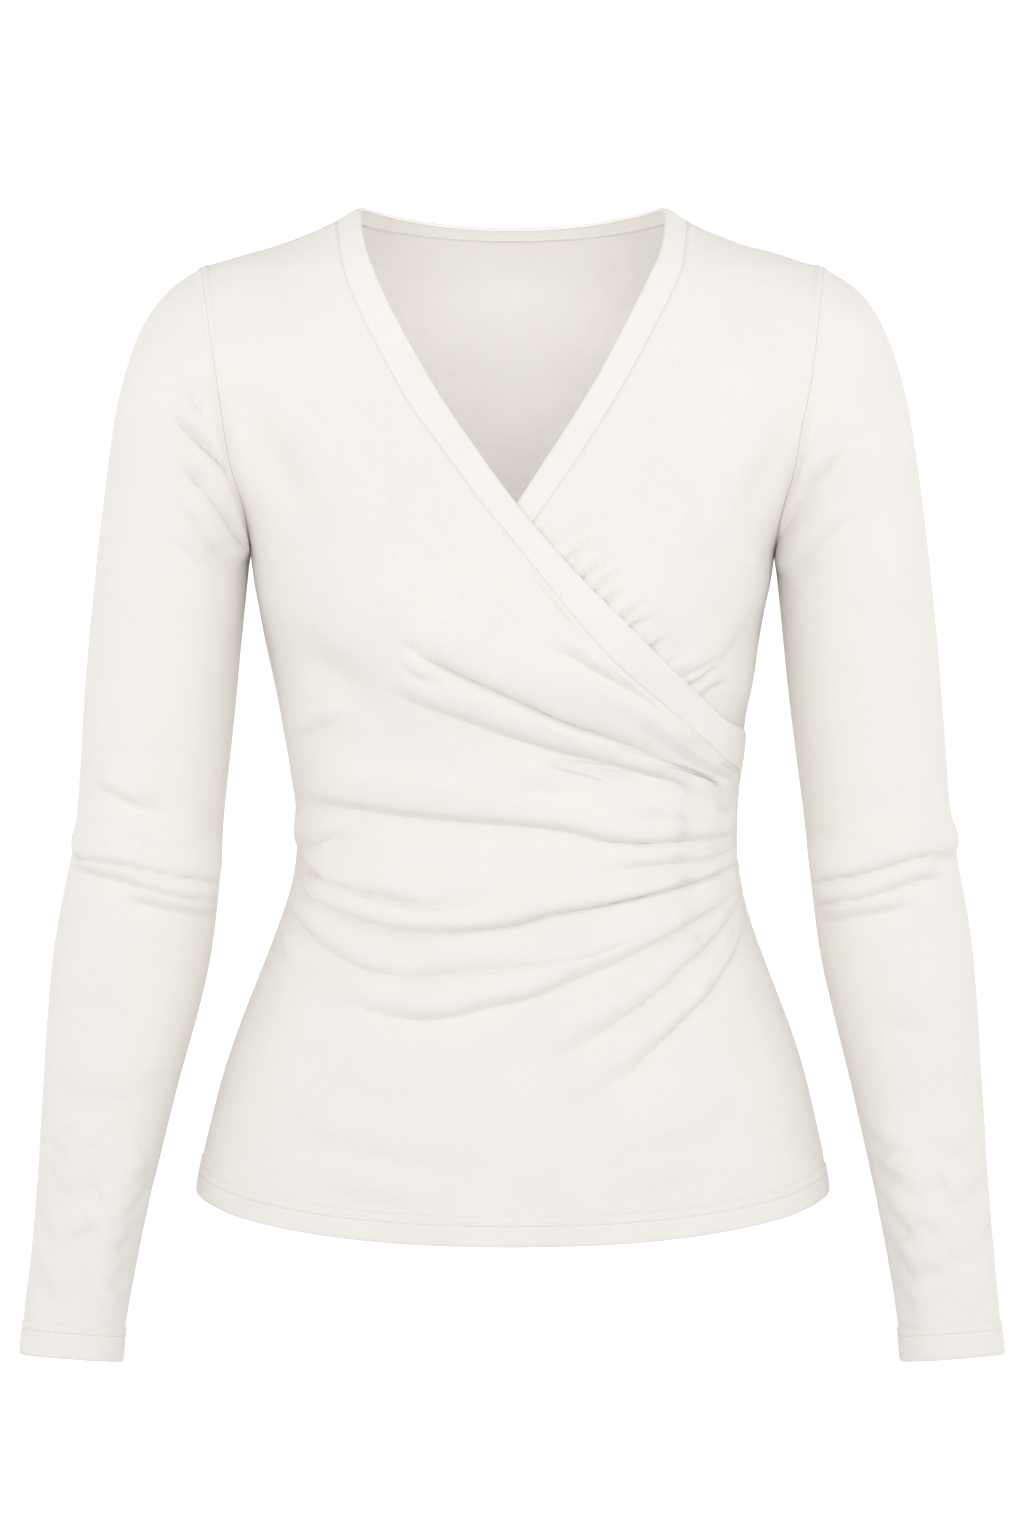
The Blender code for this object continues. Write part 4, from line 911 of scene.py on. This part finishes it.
def stitch_mesh(name, runs, pitch=2.9, length=2.25, radius=0.19, sink=0.02, material=THREAD):
    """Runs of small raised stitches, joined in one mesh. A run is points and normals."""
    verts, faces = [], []
    ring = 6
    profile = ((-0.5, 0.25), (-0.34, 0.85), (0.0, 1.0), (0.34, 0.85), (0.5, 0.25))
    for line, out in runs:
        gaps = np.linalg.norm(np.diff(line, axis=0), axis=1)
        far = np.concatenate([[0], np.cumsum(gaps)])
        count = int(far[-1] / pitch)
        at = (np.arange(count) + 0.5) * far[-1] / max(count, 1)
        centre = np.stack([np.interp(at, far, line[:, k]) for k in range(3)], axis=1)
        ahead = np.stack([np.interp(at + 0.6, far, line[:, k]) for k in range(3)], axis=1)
        behind = np.stack([np.interp(at - 0.6, far, line[:, k]) for k in range(3)], axis=1)
        tangent = ahead - behind
        tangent /= np.linalg.norm(tangent, axis=1)[:, None]
        normal = np.stack([np.interp(at, far, out[:, k]) for k in range(3)], axis=1)
        normal -= (normal * tangent).sum(axis=1)[:, None] * tangent
        normal /= np.linalg.norm(normal, axis=1)[:, None]
        side = np.cross(tangent, normal)
        for c, t, m, s in zip(centre, tangent, normal, side):
            base = len(verts)
            for along_share, fat in profile:
                for k in range(ring):
                    turn = 2 * math.pi * k / ring
                    verts.append(c + t * along_share * length - m * sink
                                 + (m * math.cos(turn) + s * math.sin(turn)) * radius * fat)
            for i in range(len(profile) - 1):
                for k in range(ring):
                    p, q = base + i * ring + k, base + i * ring + (k + 1) % ring
                    faces.append((p, q, q + ring, p + ring))
            faces.append(tuple(base + k for k in reversed(range(ring))))
            faces.append(tuple(base + (len(profile) - 1) * ring + k for k in range(ring)))
    mesh = bpy.data.meshes.new(name)
    mesh.from_pydata((np.array(verts) * MM).tolist(), [], faces)
    mesh.update()
    mesh.shade_smooth()
    mesh.materials.append(material)
    thing = bpy.data.objects.new(name, mesh)
    bpy.context.scene.collection.objects.link(thing)
    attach(thing, "root")
    return thing


def finish_piece(piece, node):
    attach(piece, "root")
    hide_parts(node)
    pieces[node] = piece


# ------------------------------------------------------------------ the fronts
CENTRE = np.array([0.0, 0.0, -300.0])


def outer_base(x, drop):
    return swell_lift(SWELLS_FRONT, x, drop) + waves(x, drop, 11, 0.3, 60)


def outer_folds(x, drop, free, room=1.0):
    return crease_lift(CREASES_OUTER, x, drop, 0.45, FOLD_STRENGTH, free, room)


def seam_gather(far, drop):
    """Puckers beside the gathered side seam. far is the distance from the seam."""
    total = np.zeros_like(far)
    for k in range(len(PUCKERS["drop"])):
        off = drop - PUCKERS["drop"][k] - PUCKERS["slope"][k] * far
        total += (PUCKERS["height"][k] * np.exp(-(off / PUCKERS["wide"][k]) ** 2)
                  * np.exp(-(far / PUCKERS["length"][k]) ** 1.5))
    inside = ease((drop - 326) / 12) * ease((432 - drop) / 12)
    return total * (0.12 + 0.7 * ease(far / 7)) * inside


def under_inset(x, drop, seam_near=99.0):
    """How far the under front lies beneath the outer one: both are caught in the side
    seams, and it comes out from under the neckband's edge."""
    covered = np.where(drop > SEAM_END - 26, 0.0, x - right_free(np.minimum(drop, 307.0)) - 2)
    depth = 1.1 + (UNDER_INSET - 1.1) * ease(np.asarray(seam_near) / 14)
    return -depth * (1 - ease(covered / 30))


def under_base(x, drop, seam_near=99.0):
    shown = ease((x - right_free(np.minimum(drop, 307.0))) / 20)
    # where it is covered it gives way beneath the valleys of the outer front
    free = 0.06 + 0.94 * ease(np.asarray(seam_near) / 14)
    valleys = np.minimum(0, outer_folds(x, drop, free * np.ones_like(x)))
    return (under_inset(x, drop, seam_near) + swell_lift(SWELLS_FRONT, x, drop)
            + shown * waves(x, drop, 12, 0.3, 60) + (1 - shown) * valleys)


def under_folds(x, drop, free, room=1.0):
    lift = crease_lift(GATHERS_UNDER, x, drop, 0.0, 1.7, free, room)
    # low enough beside the outer neckband to stay beneath its edge
    high = 1.2 + 3.2 * ease((x - right_free(np.minimum(drop, 307.0))) / 9)
    return np.where(lift > 0, high * np.tanh(lift / high), lift)


def hem_lift(up, lines):
    """A turned and stitched edge: double cloth up to its upper line, the lower line drawn
    in between its stitches, and a rounded edge."""
    return (0.55 * ease((lines[1] + 0.5 - up) / 1.2) - 0.30 * np.exp(-((up - lines[0]) / 0.8) ** 2)
            - 0.75 * np.exp(-((up - lines[1]) / 0.6) ** 2)
            - 0.25 * np.exp(-((up - lines[1] - 3.0) / 3.0) ** 2) - 0.5 * np.exp(-(up / 0.9) ** 2))


def soften(values):
    """One step of smoothing over a grid."""
    out = values.copy()
    out[1:-1] = 0.25 * values[:-2] + 0.5 * values[1:-1] + 0.25 * values[2:]
    values = out.copy()
    out[:, 1:-1] = 0.25 * values[:, :-2] + 0.5 * values[:, 1:-1] + 0.25 * values[:, 2:]
    return out


def to_shoulder(shaped, down, part):
    """Brings the top edge onto the shoulder seam, where front and back meet."""
    goal = shaped[0].copy()
    goal[:, 1] = 0.0
    goal[:, 2] = -shoulder_drop(np.abs(goal[:, 0])) - 0.05
    shift = (goal - shaped[0]) * np.asarray(part)[:, None]
    return shaped + shift[None] * np.exp(-(down / 4) ** 2)[..., None]


def build_front(name, sign, seam, last, count, base, folds, zones, creases):
    grid, low = front_grid(sign, seam, last, count, zones, creases)
    normal = facing_out(normals_of(grid), grid, CENTRE)
    x, drop = grid[..., 0].copy(), low
    own = arc_from(grid, 1, False)
    up = arc_from(grid, 0, True)
    down = arc_from(grid, 0, False)
    # distance from the edge opposite: the neckband's seam, then the side seam
    far = distance_to_edge(grid, -1, range(grid.shape[1] - 60, grid.shape[1]))
    below = ease((drop - 322) / 15)
    floor_free = 0.22 * below
    far_free = floor_free + (1 - floor_free) * ease((far - 1 + below) / (6 + 7 * below))
    held = np.where(x * sign < 0, held_flat(x, drop), 1.0)
    free = far_free * ease(own / 12) * (0.06 + 0.94 * held)
    # the gathers are shallow where the seam draws them in, most of all in its upper corner
    drawn = ease((drop - 290) / 30)
    room = 1 - drawn * (1 - (0.22 + 0.78 * ease((far - 4) / 56)))
    if sign < 0:
        corner = np.linalg.norm(grid - grid[np.argmin(np.abs(drop[:, -1] - SEAM_END)), -1], axis=-1)
        corner = ease((corner - 8) / 40)
        free = free * corner
    if sign < 0:
        lift = base(x, drop) * ease(own / 16) * held
    else:
        # under the other front it is caught in the far side seam and its own
        lift = base(x, drop, np.where(drop > 260, own, 99.0)) * held
    height = folds(x, drop, free, room)
    # drawn in at the side, the folds are rounder
    near = drawn * (1 - ease((far - 18) / 34))
    if sign < 0:
        for _ in range(5):
            height = height + (soften(height) - height) * near
    lift = lift + height
    lift = lift + armhole_welt(own, drop) + below * side_groove(far)
    # beside the neckband: a sunk seam, the pressed allowance, its needle line, and the
    # hollow where the gathers pull away from the band
    band = 1 - below
    pull = ease((drop - 203) / 22) * ease((292 - drop) / 22) * (sign < 0)
    lift = lift + band * (-0.10 * np.exp(-((far - 0.8) / 0.4) ** 2)
                          + 0.65 * (1 - ease((far - 2.9) / 1.5)) * ease((far - 0.4) / 0.9)
                          - 1.1 * pull * np.exp(-((far - 5.0) / 1.7) ** 2)
                          - 0.7 * pull * np.exp(-((far - 8.0) / 4.0) ** 2))
    if sign < 0:
        lift = lift + seam_gather(far, drop) * corner
    lift = (lift + hem_lift(up, HEM_LINES)) * ease(down / 3.5) - 0.3 * np.exp(-(down / 0.8) ** 2)
    shaped = grid + normal * lift[..., None]
    shaped = to_shoulder(shaped, down, np.full(shaped.shape[1], True))
    thick = np.where(up < 17.2, 1.0, CLOTH / DOUBLE)
    piece = make_mesh(name, shaped, DOUBLE, thick=thick, uv=panel_uv(grid, 100.0 * sign),
                      material=JERSEY, flip=orient(shaped, CENTRE))
    return piece, shaped


piece, outer_front = build_front(
    "right_front", -1, right_seam, HEM_CORNER, 132, outer_base, outer_folds,
    ((110, 190, 3.2), (190, 245, 1.9), (245, 440, 1.5), (440, 528, 2.0), (528, 560, 2.9)), CREASES_OUTER)
finish_piece(piece, "front_right")


piece, under_front = build_front(
    "left_front", 1, left_seam, HEM_CORNER - UNDER_HEM_LIFT, 112, under_base, under_folds,
    ((110, 186, 3.2), (186, 290, 1.5), (290, 560, 3.4)), None)
finish_piece(piece, "front_left")


# ------------------------------------------------------------------ neckbands
def band_grid(free, seam, last_free):
    """A front neckband, seam edge to free edge, on the same form as its front."""
    path_seam = np.stack([seam(np.linspace(SEAM_TOP, SEAM_END, 400)), np.linspace(SEAM_TOP, SEAM_END, 400)], axis=1)
    path_free = np.stack([free(np.linspace(0.0, last_free, 400)), np.linspace(0.0, last_free, 400)], axis=1)
    a, b = resample(path_seam, 1.0), resample(path_free, 1.0)
    count = 190
    share = np.linspace(0, 1, count)
    # close rows where the band rounds over the shoulder
    share = np.concatenate([np.linspace(0, share[6], 26)[:-1] ** 1.0, share[6:]])
    a = np.stack([np.interp(share * (len(a) - 1), np.arange(len(a)), a[:, k]) for k in range(2)], axis=1)
    b = np.stack([np.interp(share * (len(b) - 1), np.arange(len(b)), b[:, k]) for k in range(2)], axis=1)
    across = np.concatenate([[0, 0.03, 0.07], np.linspace(0.12, 0.88, 9), [0.93, 0.97, 1.0]])
    x = a[:, None, 0] + (b[:, None, 0] - a[:, None, 0]) * across
    drop = a[:, None, 1] + (b[:, None, 1] - a[:, None, 1]) * across
    # the first row lies on the shoulder seam
    top = shoulder_drop(np.abs(x))
    drop = np.maximum(drop, top)
    angle = angle_of(x, drop, False)
    side = np.sign(x[-1, 0])
    angle = angle + (side * np.pi / 2 - angle) * seam_end(a[:, None, 1])
    grid = on_body(angle, drop, False)
    grid[0, :, 1] = 0.0
    return grid, x, drop, across


def round_corner(edge, from_top):
    """How far the neck's corner at the shoulder is worn down."""
    return 1.4 * np.exp(-(edge / 2.2) ** 2) * np.exp(-(from_top / 5) ** 2)


def build_band(name, free, seam, last_free, lifts, raise_by, front):
    grid, x, drop, across = band_grid(free, seam, last_free)
    normal = facing_out(normals_of(grid), grid, CENTRE)
    wide = arc_from(grid, 1, False)
    total = wide[:, -1:]
    edge = total - wide
    held = held_flat(x, drop)
    lift = (lifts(x, drop) + raise_by) * held
    lift = lift - raise_by * held * np.exp(-(wide / 0.7) ** 2)
    lift = lift - 0.55 * np.exp(-(edge / 0.9) ** 2)
    lift = lift + 0.25 * np.sin(np.pi * np.clip(wide / total, 0, 1))
    shaped = grid + normal * lift[..., None]
    # its seam edge is that of the panel
    goal = meet(shaped[:, 0], edge_line(front, -1, 0.0, SEAM_END))
    goal[0] = front[0, -1]
    shaped += (goal - shaped[:, 0])[:, None] * np.exp(-(wide / 4) ** 2)[..., None]
    shaped[..., 2] -= round_corner(edge, arc_from(grid, 0, False))
    piece = make_mesh(name, shaped, DOUBLE, material=BAND, flip=orient(shaped, CENTRE))
    return piece, shaped


piece, outer_band = build_band("right_neckband", right_free, right_seam, 307.5, outer_base, 0.22, outer_front)
finish_piece(piece, "band_front_right")


piece, under_band = build_band("left_neckband", left_free, left_seam, 307.5, under_base, 0.22, under_front)
finish_piece(piece, "band_front_left")


# ------------------------------------------------------------------ the back
def back_top(x):
    share = np.clip(1 - (np.abs(x) / BACK_SEAM_X) ** 2, 0, 1)
    start = shoulder_drop(BACK_SEAM_X)
    neck = start + (BACK_NECK_DROP + BACK_BAND - start) * share ** 0.8
    return np.where(np.abs(x) >= BACK_SEAM_X, shoulder_drop(np.abs(x)), neck)


def back_grid():
    own = own_rows(HEM_CORNER, ((110, 320, 3.2), (320, 440, 2.4), (440, 560, 3.2)))
    # columns: even over the middle, close at both side seams
    half = np.concatenate([np.linspace(0, 0.95, 66), [0.962, 0.974, 0.984, 0.992, 1.0]])
    part = np.concatenate([-half[:0:-1], half])
    top_x = TIP_X * part
    # keep a column exactly at each end of the neck seam
    for target in (-BACK_SEAM_X, BACK_SEAM_X):
        top_x[np.argmin(np.abs(top_x - target))] = target
    fade = fade_top(own)[:, None]
    top = back_top(top_x)[None, :]
    drop = own[:, None] + (top - TIP_DROP) * fade
    angle_full = np.sign(part) * np.abs(part) * np.pi / 2
    edge_r = angle_of(side_edge(drop, -1), drop, True)
    edge_l = angle_of(side_edge(drop, 1), drop, True)
    angle = np.where(part[None, :] < 0, -np.abs(part) * np.abs(edge_r), part * np.abs(edge_l))
    x = on_body(angle, drop, True)[..., 0]
    want = top_x[None, :] / TIP_X * np.abs(side_edge(drop, 1))
    mixed = x + (want - x) * fade
    angle = np.where(fade > 0, angle_of(mixed, drop, True), angle)
    x = on_body(angle, drop, True)[..., 0]
    low = drop + hem_dip(x, drop, 0.0)
    grid = on_body(angle, low, True)
    at_shoulder = np.abs(top_x) >= BACK_SEAM_X
    grid[0, at_shoulder, 0] = top_x[at_shoulder]
    grid[0, at_shoulder, 1] = 0.0
    grid[0, at_shoulder, 2] = -shoulder_drop(np.abs(top_x[at_shoulder]))
    return grid, low, top_x


grid, low, back_top_x = back_grid()
normal = facing_out(normals_of(grid), grid, CENTRE)
up, down = arc_from(grid, 0, True), arc_from(grid, 0, False)
own, far = arc_from(grid, 1, False), arc_from(grid, 1, True)
lift = ((crease_lift(CREASES_BACK, grid[..., 0], low, 0.1, BACK_FOLD_STRENGTH)
         + waves(grid[..., 0], low, 21, 0.4, 70)) * ease(own / 14) * ease(far / 14)
        + armhole_welt(own, low) + armhole_welt(far, low))
lift = (lift + hem_lift(up, HEM_LINES)) * ease(down / 3.5) - 0.3 * np.exp(-(down / 0.8) ** 2)
back_shape = grid + normal * lift[..., None]
back_shape = to_shoulder(back_shape, down, np.abs(back_top_x) >= BACK_SEAM_X)
# its side edges meet those of the fronts
drop_r, x_r, y_r = edge_line(outer_front, 0, ARM_DROP)
upper, lower = edge_line(under_front, 0, ARM_DROP, 300.0), edge_line(outer_front, -1, 334.0)
left_line = [np.concatenate([a, b]) for a, b in zip(upper, lower)]
for column, line, far_in in ((0, (drop_r, x_r, y_r), own), (-1, left_line, far)):
    rows = -back_shape[:, column, 2] >= ARM_DROP
    shift = np.zeros_like(back_shape[:, column])
    shift[rows] = meet(back_shape[rows, column], line) - back_shape[rows, column]
    back_shape += shift[:, None] * np.exp(-(far_in / 6) ** 2)[..., None]
piece = make_mesh("back_panel", back_shape, DOUBLE, thick=np.where(up < 17.2, 1.0, CLOTH / DOUBLE),
                  material=JERSEY, flip=orient(back_shape, CENTRE))
finish_piece(piece, "back")

# back neckband
seam_x = np.linspace(-BACK_SEAM_X, BACK_SEAM_X, 121)
share = np.concatenate([[0, 0.05, 0.12], np.linspace(0.2, 0.85, 7), [0.93, 1.0]])
part = seam_x / BACK_SEAM_X
free_x = NECK_X * part
free_drop = BACK_NECK_DROP * (1 - np.abs(part) ** 2.2)
seam_drop = back_top(seam_x)
x = free_x + (seam_x - free_x) * share[:, None]
drop = free_drop + (seam_drop - free_drop) * share[:, None]
drop = np.maximum(drop, shoulder_drop(np.abs(x)))
grid = on_body(angle_of(x, drop, True), drop, True)
grid[:, [0, -1], 1] = 0.0
normal = facing_out(normals_of(grid), grid, CENTRE)
wide = arc_from(grid, 0, False)
lift = 0.35 - 0.9 * np.exp(-((wide[-1:] - wide) / 0.8) ** 2) - 0.5 * np.exp(-(wide / 0.8) ** 2)
back_band = grid + normal * lift[..., None]
along_band = arc_from(grid, 1, False)
back_band[..., 2] -= round_corner(wide, np.minimum(along_band, along_band[:, -1:] - along_band))
piece = make_mesh("back_neckband", back_band, DOUBLE + 0.3, material=BAND, flip=orient(back_band, CENTRE))
finish_piece(piece, "band_back_neck")


# ------------------------------------------------------------------ the sleeves
def sleeve_grid(sign):
    side = "right" if sign < 0 else "left"
    outer_x = curve(SLEEVE_OUTER, "drop", side, 5)
    inner_x = curve(SLEEVE_INNER, "drop", side, 7)
    fine = np.linspace(0, 13, 1301)
    cols = {c: blur_line(along(SLEEVE, "station", c, fine), 35) for c in
            ("outer_drop", "inner_drop", "front", "back", "swing")}
    ox, ix = outer_x(cols["outer_drop"]), inner_x(cols["inner_drop"])
    # even rows down the outer edge, close ones in the cuff
    steps = np.hypot(np.diff(ox), np.diff(cols["outer_drop"]))
    far = np.concatenate([[0], np.cumsum(steps)])
    # closer rows over the elbow
    way = np.arange(0, far[-1] - 27, 0.1)
    level = np.interp(way, far, cols["outer_drop"])
    number = np.cumsum(np.where((level > 322) & (level < 424), 0.1 / 1.5, 0.1 / GRID))
    body = np.interp(np.arange(0, number[-1]), number, way)
    cuff = far[-1] - edge_steps(CUFF_LINES, 27.0)[::-1]
    at = np.concatenate([[0, 0.5, 1.2, 2.0, 2.9, 3.8, 4.8, 6.0, 7.4, 9.2], body[body > 11], cuff])
    at = at[np.concatenate([[True], np.diff(at) > 0.2])]
    pick = lambda values: np.interp(at, far, values)[:, None]
    ox, ix = pick(ox), pick(ix)
    od, idr = pick(cols["outer_drop"]), pick(cols["inner_drop"])
    front, back, swing = pick(cols["front"]), pick(cols["back"]), pick(cols["swing"])
    station = pick(fine)
    # the ring starts and ends at the seam under the arm
    turn = np.linspace(-np.pi, np.pi, 133)[None, :]
    mx, md = (ox + ix) / 2, (od + idr) / 2
    hx, hd = (ox - ix) / 2, (od - idr) / 2
    # the section is an oval, a little squarer away from the armhole
    power = 1 + (2 / SLEEVE_OVAL - 1) * ease((station - 1) / 3)
    across = np.sign(np.cos(turn)) * np.abs(np.cos(turn)) ** power
    forward = np.sign(np.sin(turn)) * np.abs(np.sin(turn)) ** power
    x = mx + hx * across
    drop = md + hd * across
    start = ease(1 - station / 2.5)
    share = (1 - np.cos(turn)) / 2
    arm_drop = TIP_DROP + (ARM_DROP - TIP_DROP) * share
    straight = TIP_X + (151.6 - TIP_X) * share
    x = x + (arm_edge(arm_drop, sign) - straight) * start
    # the cuff's front edge lies a little higher than its rear one
    drop = drop - 2.2 * np.maximum(0, np.sin(turn)) * ease((station - 11.5) / 1.5)
    reach = np.where(np.sin(turn) > 0, front, back)
    y = swing - reach * forward
    grid = np.stack([sign * x, y * np.ones_like(x), -drop], axis=-1)
    return grid, station, turn * np.ones_like(x)


def sleeve_centre(grid):
    return grid.mean(axis=1, keepdims=True)


def build_sleeve(name, node, sign, front_creases, front_edge, back_edge):
    grid, station, turn = sleeve_grid(sign)
    normal = normals_of(grid)
    if ((grid - sleeve_centre(grid)) * normal).sum(axis=2).mean() < 0:
        normal = -normal
    x, drop = grid[..., 0], -grid[..., 2]
    to_front = ease(0.5 - normal[..., 1] / 0.9)
    rear = [(r, w, c, a, b, k, [(sign * -px, pd) for px, pd in path]) if sign > 0 else (r, w, c, a, b, k, path)
            for r, w, c, a, b, k, path in REAR_SLEEVE]
    rear = [(r, w, c, (b if sign > 0 else a), (a if sign > 0 else b), k, (path[::-1] if sign > 0 else path))
            for r, w, c, a, b, k, path in rear]
    lift = to_front * crease_lift(front_creases, x, drop, 0.0, SLEEVE_FOLD_STRENGTH)
    lift = lift + (1 - to_front) * crease_lift(rear, x, drop, 0.0, SLEEVE_FOLD_STRENGTH)
    lift = lift + waves(x + grid[..., 1] * 0.7, drop, 31 + int(sign), 0.35, 55)
    lift = lift * (0.15 + 0.85 * ease(np.abs(np.sin(turn)) / 0.45))
    down, up = arc_from(grid, 0, False), arc_from(grid, 0, True)
    # beside the armhole seam, which holds the folds flat
    arm_drop = TIP_DROP + (ARM_DROP - TIP_DROP) * (1 - np.cos(turn)) / 2
    lift = lift * (0.1 + 0.9 * ease(down / 8)) + armhole_welt(down, arm_drop)
    around = arc_from(grid, 1, False)
    whole = around[:, -1:]
    seam = np.minimum(around, whole - around)
    lift = lift - 0.7 * np.exp(-(seam / 1.6) ** 2)
    lift = lift + hem_lift(up, CUFF_LINES)
    shaped = grid + normal * lift[..., None]
    shaped[:, -1] = shaped[:, 0]
    # its first ring meets the edges of the front and the back
    first, turns = shaped[0], turn[0]
    goal = np.where((np.sin(turns) > 0)[:, None], meet(first, front_edge), meet(first, back_edge))
    ends = (np.abs(np.sin(turns)) < 1e-6)[:, None]
    goal = np.where(ends, (meet(first, front_edge) + meet(first, back_edge)) / 2, goal)
    shaped += (goal - first)[None] * np.exp(-(down / 5) ** 2)[..., None]
    thick = np.where(up < 20.6, 1.0, CLOTH / DOUBLE)
    flip = ((shaped - sleeve_centre(shaped)) * normals_of(shaped)).sum(axis=2).mean() > 0
    body = shaped[:, :-1]
    u = around - whole / 2
    uv = np.stack([u, up], axis=-1)[:, :-1]
    piece = make_mesh(name, body, DOUBLE, thick=thick[:, :-1], uv=uv, closed=True, material=JERSEY, flip=flip)
    finish_piece(piece, node)
    return shaped


right_sleeve = build_sleeve("right_sleeve", "sleeve_right", -1, CREASES_SLEEVE_RIGHT,
                            edge_line(outer_front, 0), edge_line(back_shape, 0))
left_sleeve = build_sleeve("left_sleeve", "sleeve_left", 1, CREASES_SLEEVE_LEFT,
                           edge_line(under_front, 0), edge_line(back_shape, -1))


# ------------------------------------------------------------------ needle lines
def run(grid, axis, from_end, distance, centre, first=0, last=None, lift=0.0):
    line = offset_path(grid, axis, from_end, distance)
    n = normals_of(grid)
    if centre is None:
        if ((grid - sleeve_centre(grid)) * n).sum(axis=2).mean() < 0:
            n = -n
    else:
        n = facing_out(n, grid, centre)
    out = offset_path(np.concatenate([grid], axis=0), axis, from_end, distance)
    far = arc_from(grid, axis, from_end)
    if axis == 0:
        n, far = n.transpose(1, 0, 2), far.T
    normal = []
    for nn, d in zip(n, far):
        if from_end:
            nn, d = nn[::-1], d[::-1]
        normal.append([np.interp(distance, d, nn[:, k]) for k in range(3)])
    normal = np.array(normal)
    return line[first:last] + normal[first:last] * lift, normal[first:last]


hem_runs = []
for shape in (outer_front, back_shape):
    hem_runs.append(run(shape, 0, True, HEM_LINES[0], CENTRE, 2, -2))
# the hem stitches are dark with painted shadow
stitch_mesh("hem_stitches", hem_runs, 2.1, 1.25, 0.21, 0.0, STITCH_SHADOW_THREAD)

cuff_runs = []
for shape in (right_sleeve, left_sleeve):
    cuff_runs.append(run(shape, 0, True, CUFF_LINES[0], None, 1, -1))
# the cuff stitches are dark with painted shadow
stitch_mesh("cuff_stitches", cuff_runs, 2.1, 1.25, 0.21, 0.0, STITCH_SHADOW_THREAD)


def band_run(shape, seam):
    """The needle line beside a front neckband, just off its seam."""
    drop = -shape[:, -1, 2]
    rows = np.nonzero(drop < SEAM_END - 14)[0]
    part = shape[rows]
    x, d = part[:, -1, 0], -part[:, -1, 2]
    slope = np.abs(np.gradient(x) / np.gradient(d))
    lean = np.sqrt(1 + slope ** 2)
    n = facing_out(normals_of(part), part, CENTRE)
    far = arc_from(part, 1, True)
    line, normal = [], []
    for pts, nn, dd, k in zip(part[:, ::-1], n[:, ::-1], far[:, ::-1], lean):
        line.append([np.interp(1.1 * k, dd, pts[:, c]) for c in range(3)])
        normal.append([np.interp(1.1 * k, dd, nn[:, c]) for c in range(3)])
    return np.array(line)[3:], np.array(normal)[3:]


stitch_mesh("neckband_stitches", [band_run(outer_front, right_seam), band_run(under_front, left_seam),
                                  run(back_shape[:, np.abs(back_top_x) < BACK_SEAM_X - 3], 0, False, 1.6, CENTRE)],
            2.9, 2.0, 0.15, 0.05)
# the inside of the back neckband shows its own line of stitches just above the seam, in thread painted dark as shadow
stitch_mesh("neck_inner_stitches", [run(back_band, 0, True, 1.5, CENTRE, 3, -3, -(DOUBLE + 0.3) - 0.02)],
            2.1, 1.3, 0.20, 0.0, STITCH_SHADOW_THREAD)

# ------------------------------------------------------------------ stage, light, camera
bpy.ops.mesh.primitive_circle_add(vertices=96, radius=3.0, fill_type="NGON", location=(0, 0, -1.35))
floor = bpy.context.object
floor.name = "floor"
floor_material, tree, shader = new_material("pale floor")
shader.inputs["Base Color"].default_value = (0.80, 0.80, 0.80, 1)
shader.inputs["Roughness"].default_value = 0.9
floor.data.materials.append(floor_material)

SKY_TOP, SKY_SIDE, KEY, FILL = 0.65, 1.25, 9.8, 0.086
world = bpy.data.worlds.new("white studio")
bpy.context.scene.world = world
world.use_nodes = True
# white all round at eye level, softer towards the ceiling
sky, link = world.node_tree.nodes, world.node_tree.links
way = sky.new("ShaderNodeTexCoord")
apart = sky.new("ShaderNodeSeparateXYZ")
link.new(way.outputs["Generated"], apart.inputs[0])
fall = sky.new("ShaderNodeMapRange")
fall.interpolation_type = "SMOOTHSTEP"
fall.inputs["From Min"].default_value = 0.12
fall.inputs["From Max"].default_value = 0.85
fall.inputs["To Min"].default_value = SKY_SIDE
fall.inputs["To Max"].default_value = SKY_TOP
link.new(apart.outputs[2], fall.inputs["Value"])
sky["Background"].inputs[0].default_value = (1, 1, 1, 1)
link.new(fall.outputs[0], sky["Background"].inputs[1])


def area_light(name, place, aim, size, power):
    data = bpy.data.lights.new(name, "AREA")
    data.shape = "RECTANGLE"
    data.size, data.size_y = size
    data.energy = power
    lamp = bpy.data.objects.new(name, data)
    bpy.context.scene.collection.objects.link(lamp)
    lamp.location = place
    lamp.rotation_euler = (Vector(aim) - Vector(place)).to_track_quat("-Z", "Y").to_euler()
    return lamp


area_light("key", (0.35, -3.0, 1.4), (0, 0, -0.35), (2.0, 1.5), KEY)
# a small soft lamp inside the neck, as product photographers use for hollow garments
fill_light = area_light("neck fill", (0, -0.045, -0.095), (0, 0.1, -0.10), (0.16, 0.16), FILL)
fill_light.visible_camera = False

view = Vector((-0.0002, 0.0, -0.3254))
tilt = math.radians(3.0)
camera_data = bpy.data.cameras.new("camera")
camera_data.sensor_fit = "VERTICAL"
camera_data.sensor_height = 36.0
camera_data.lens = 202.0
camera = bpy.data.objects.new("camera", camera_data)
bpy.context.scene.collection.objects.link(camera)
camera.location = view + Vector((0, -math.cos(tilt), math.sin(tilt))) * 5.0
camera.rotation_euler = (view - camera.location).to_track_quat("-Z", "Y").to_euler()
bpy.context.scene.camera = camera
bpy.context.scene.view_settings.view_transform = "Standard"
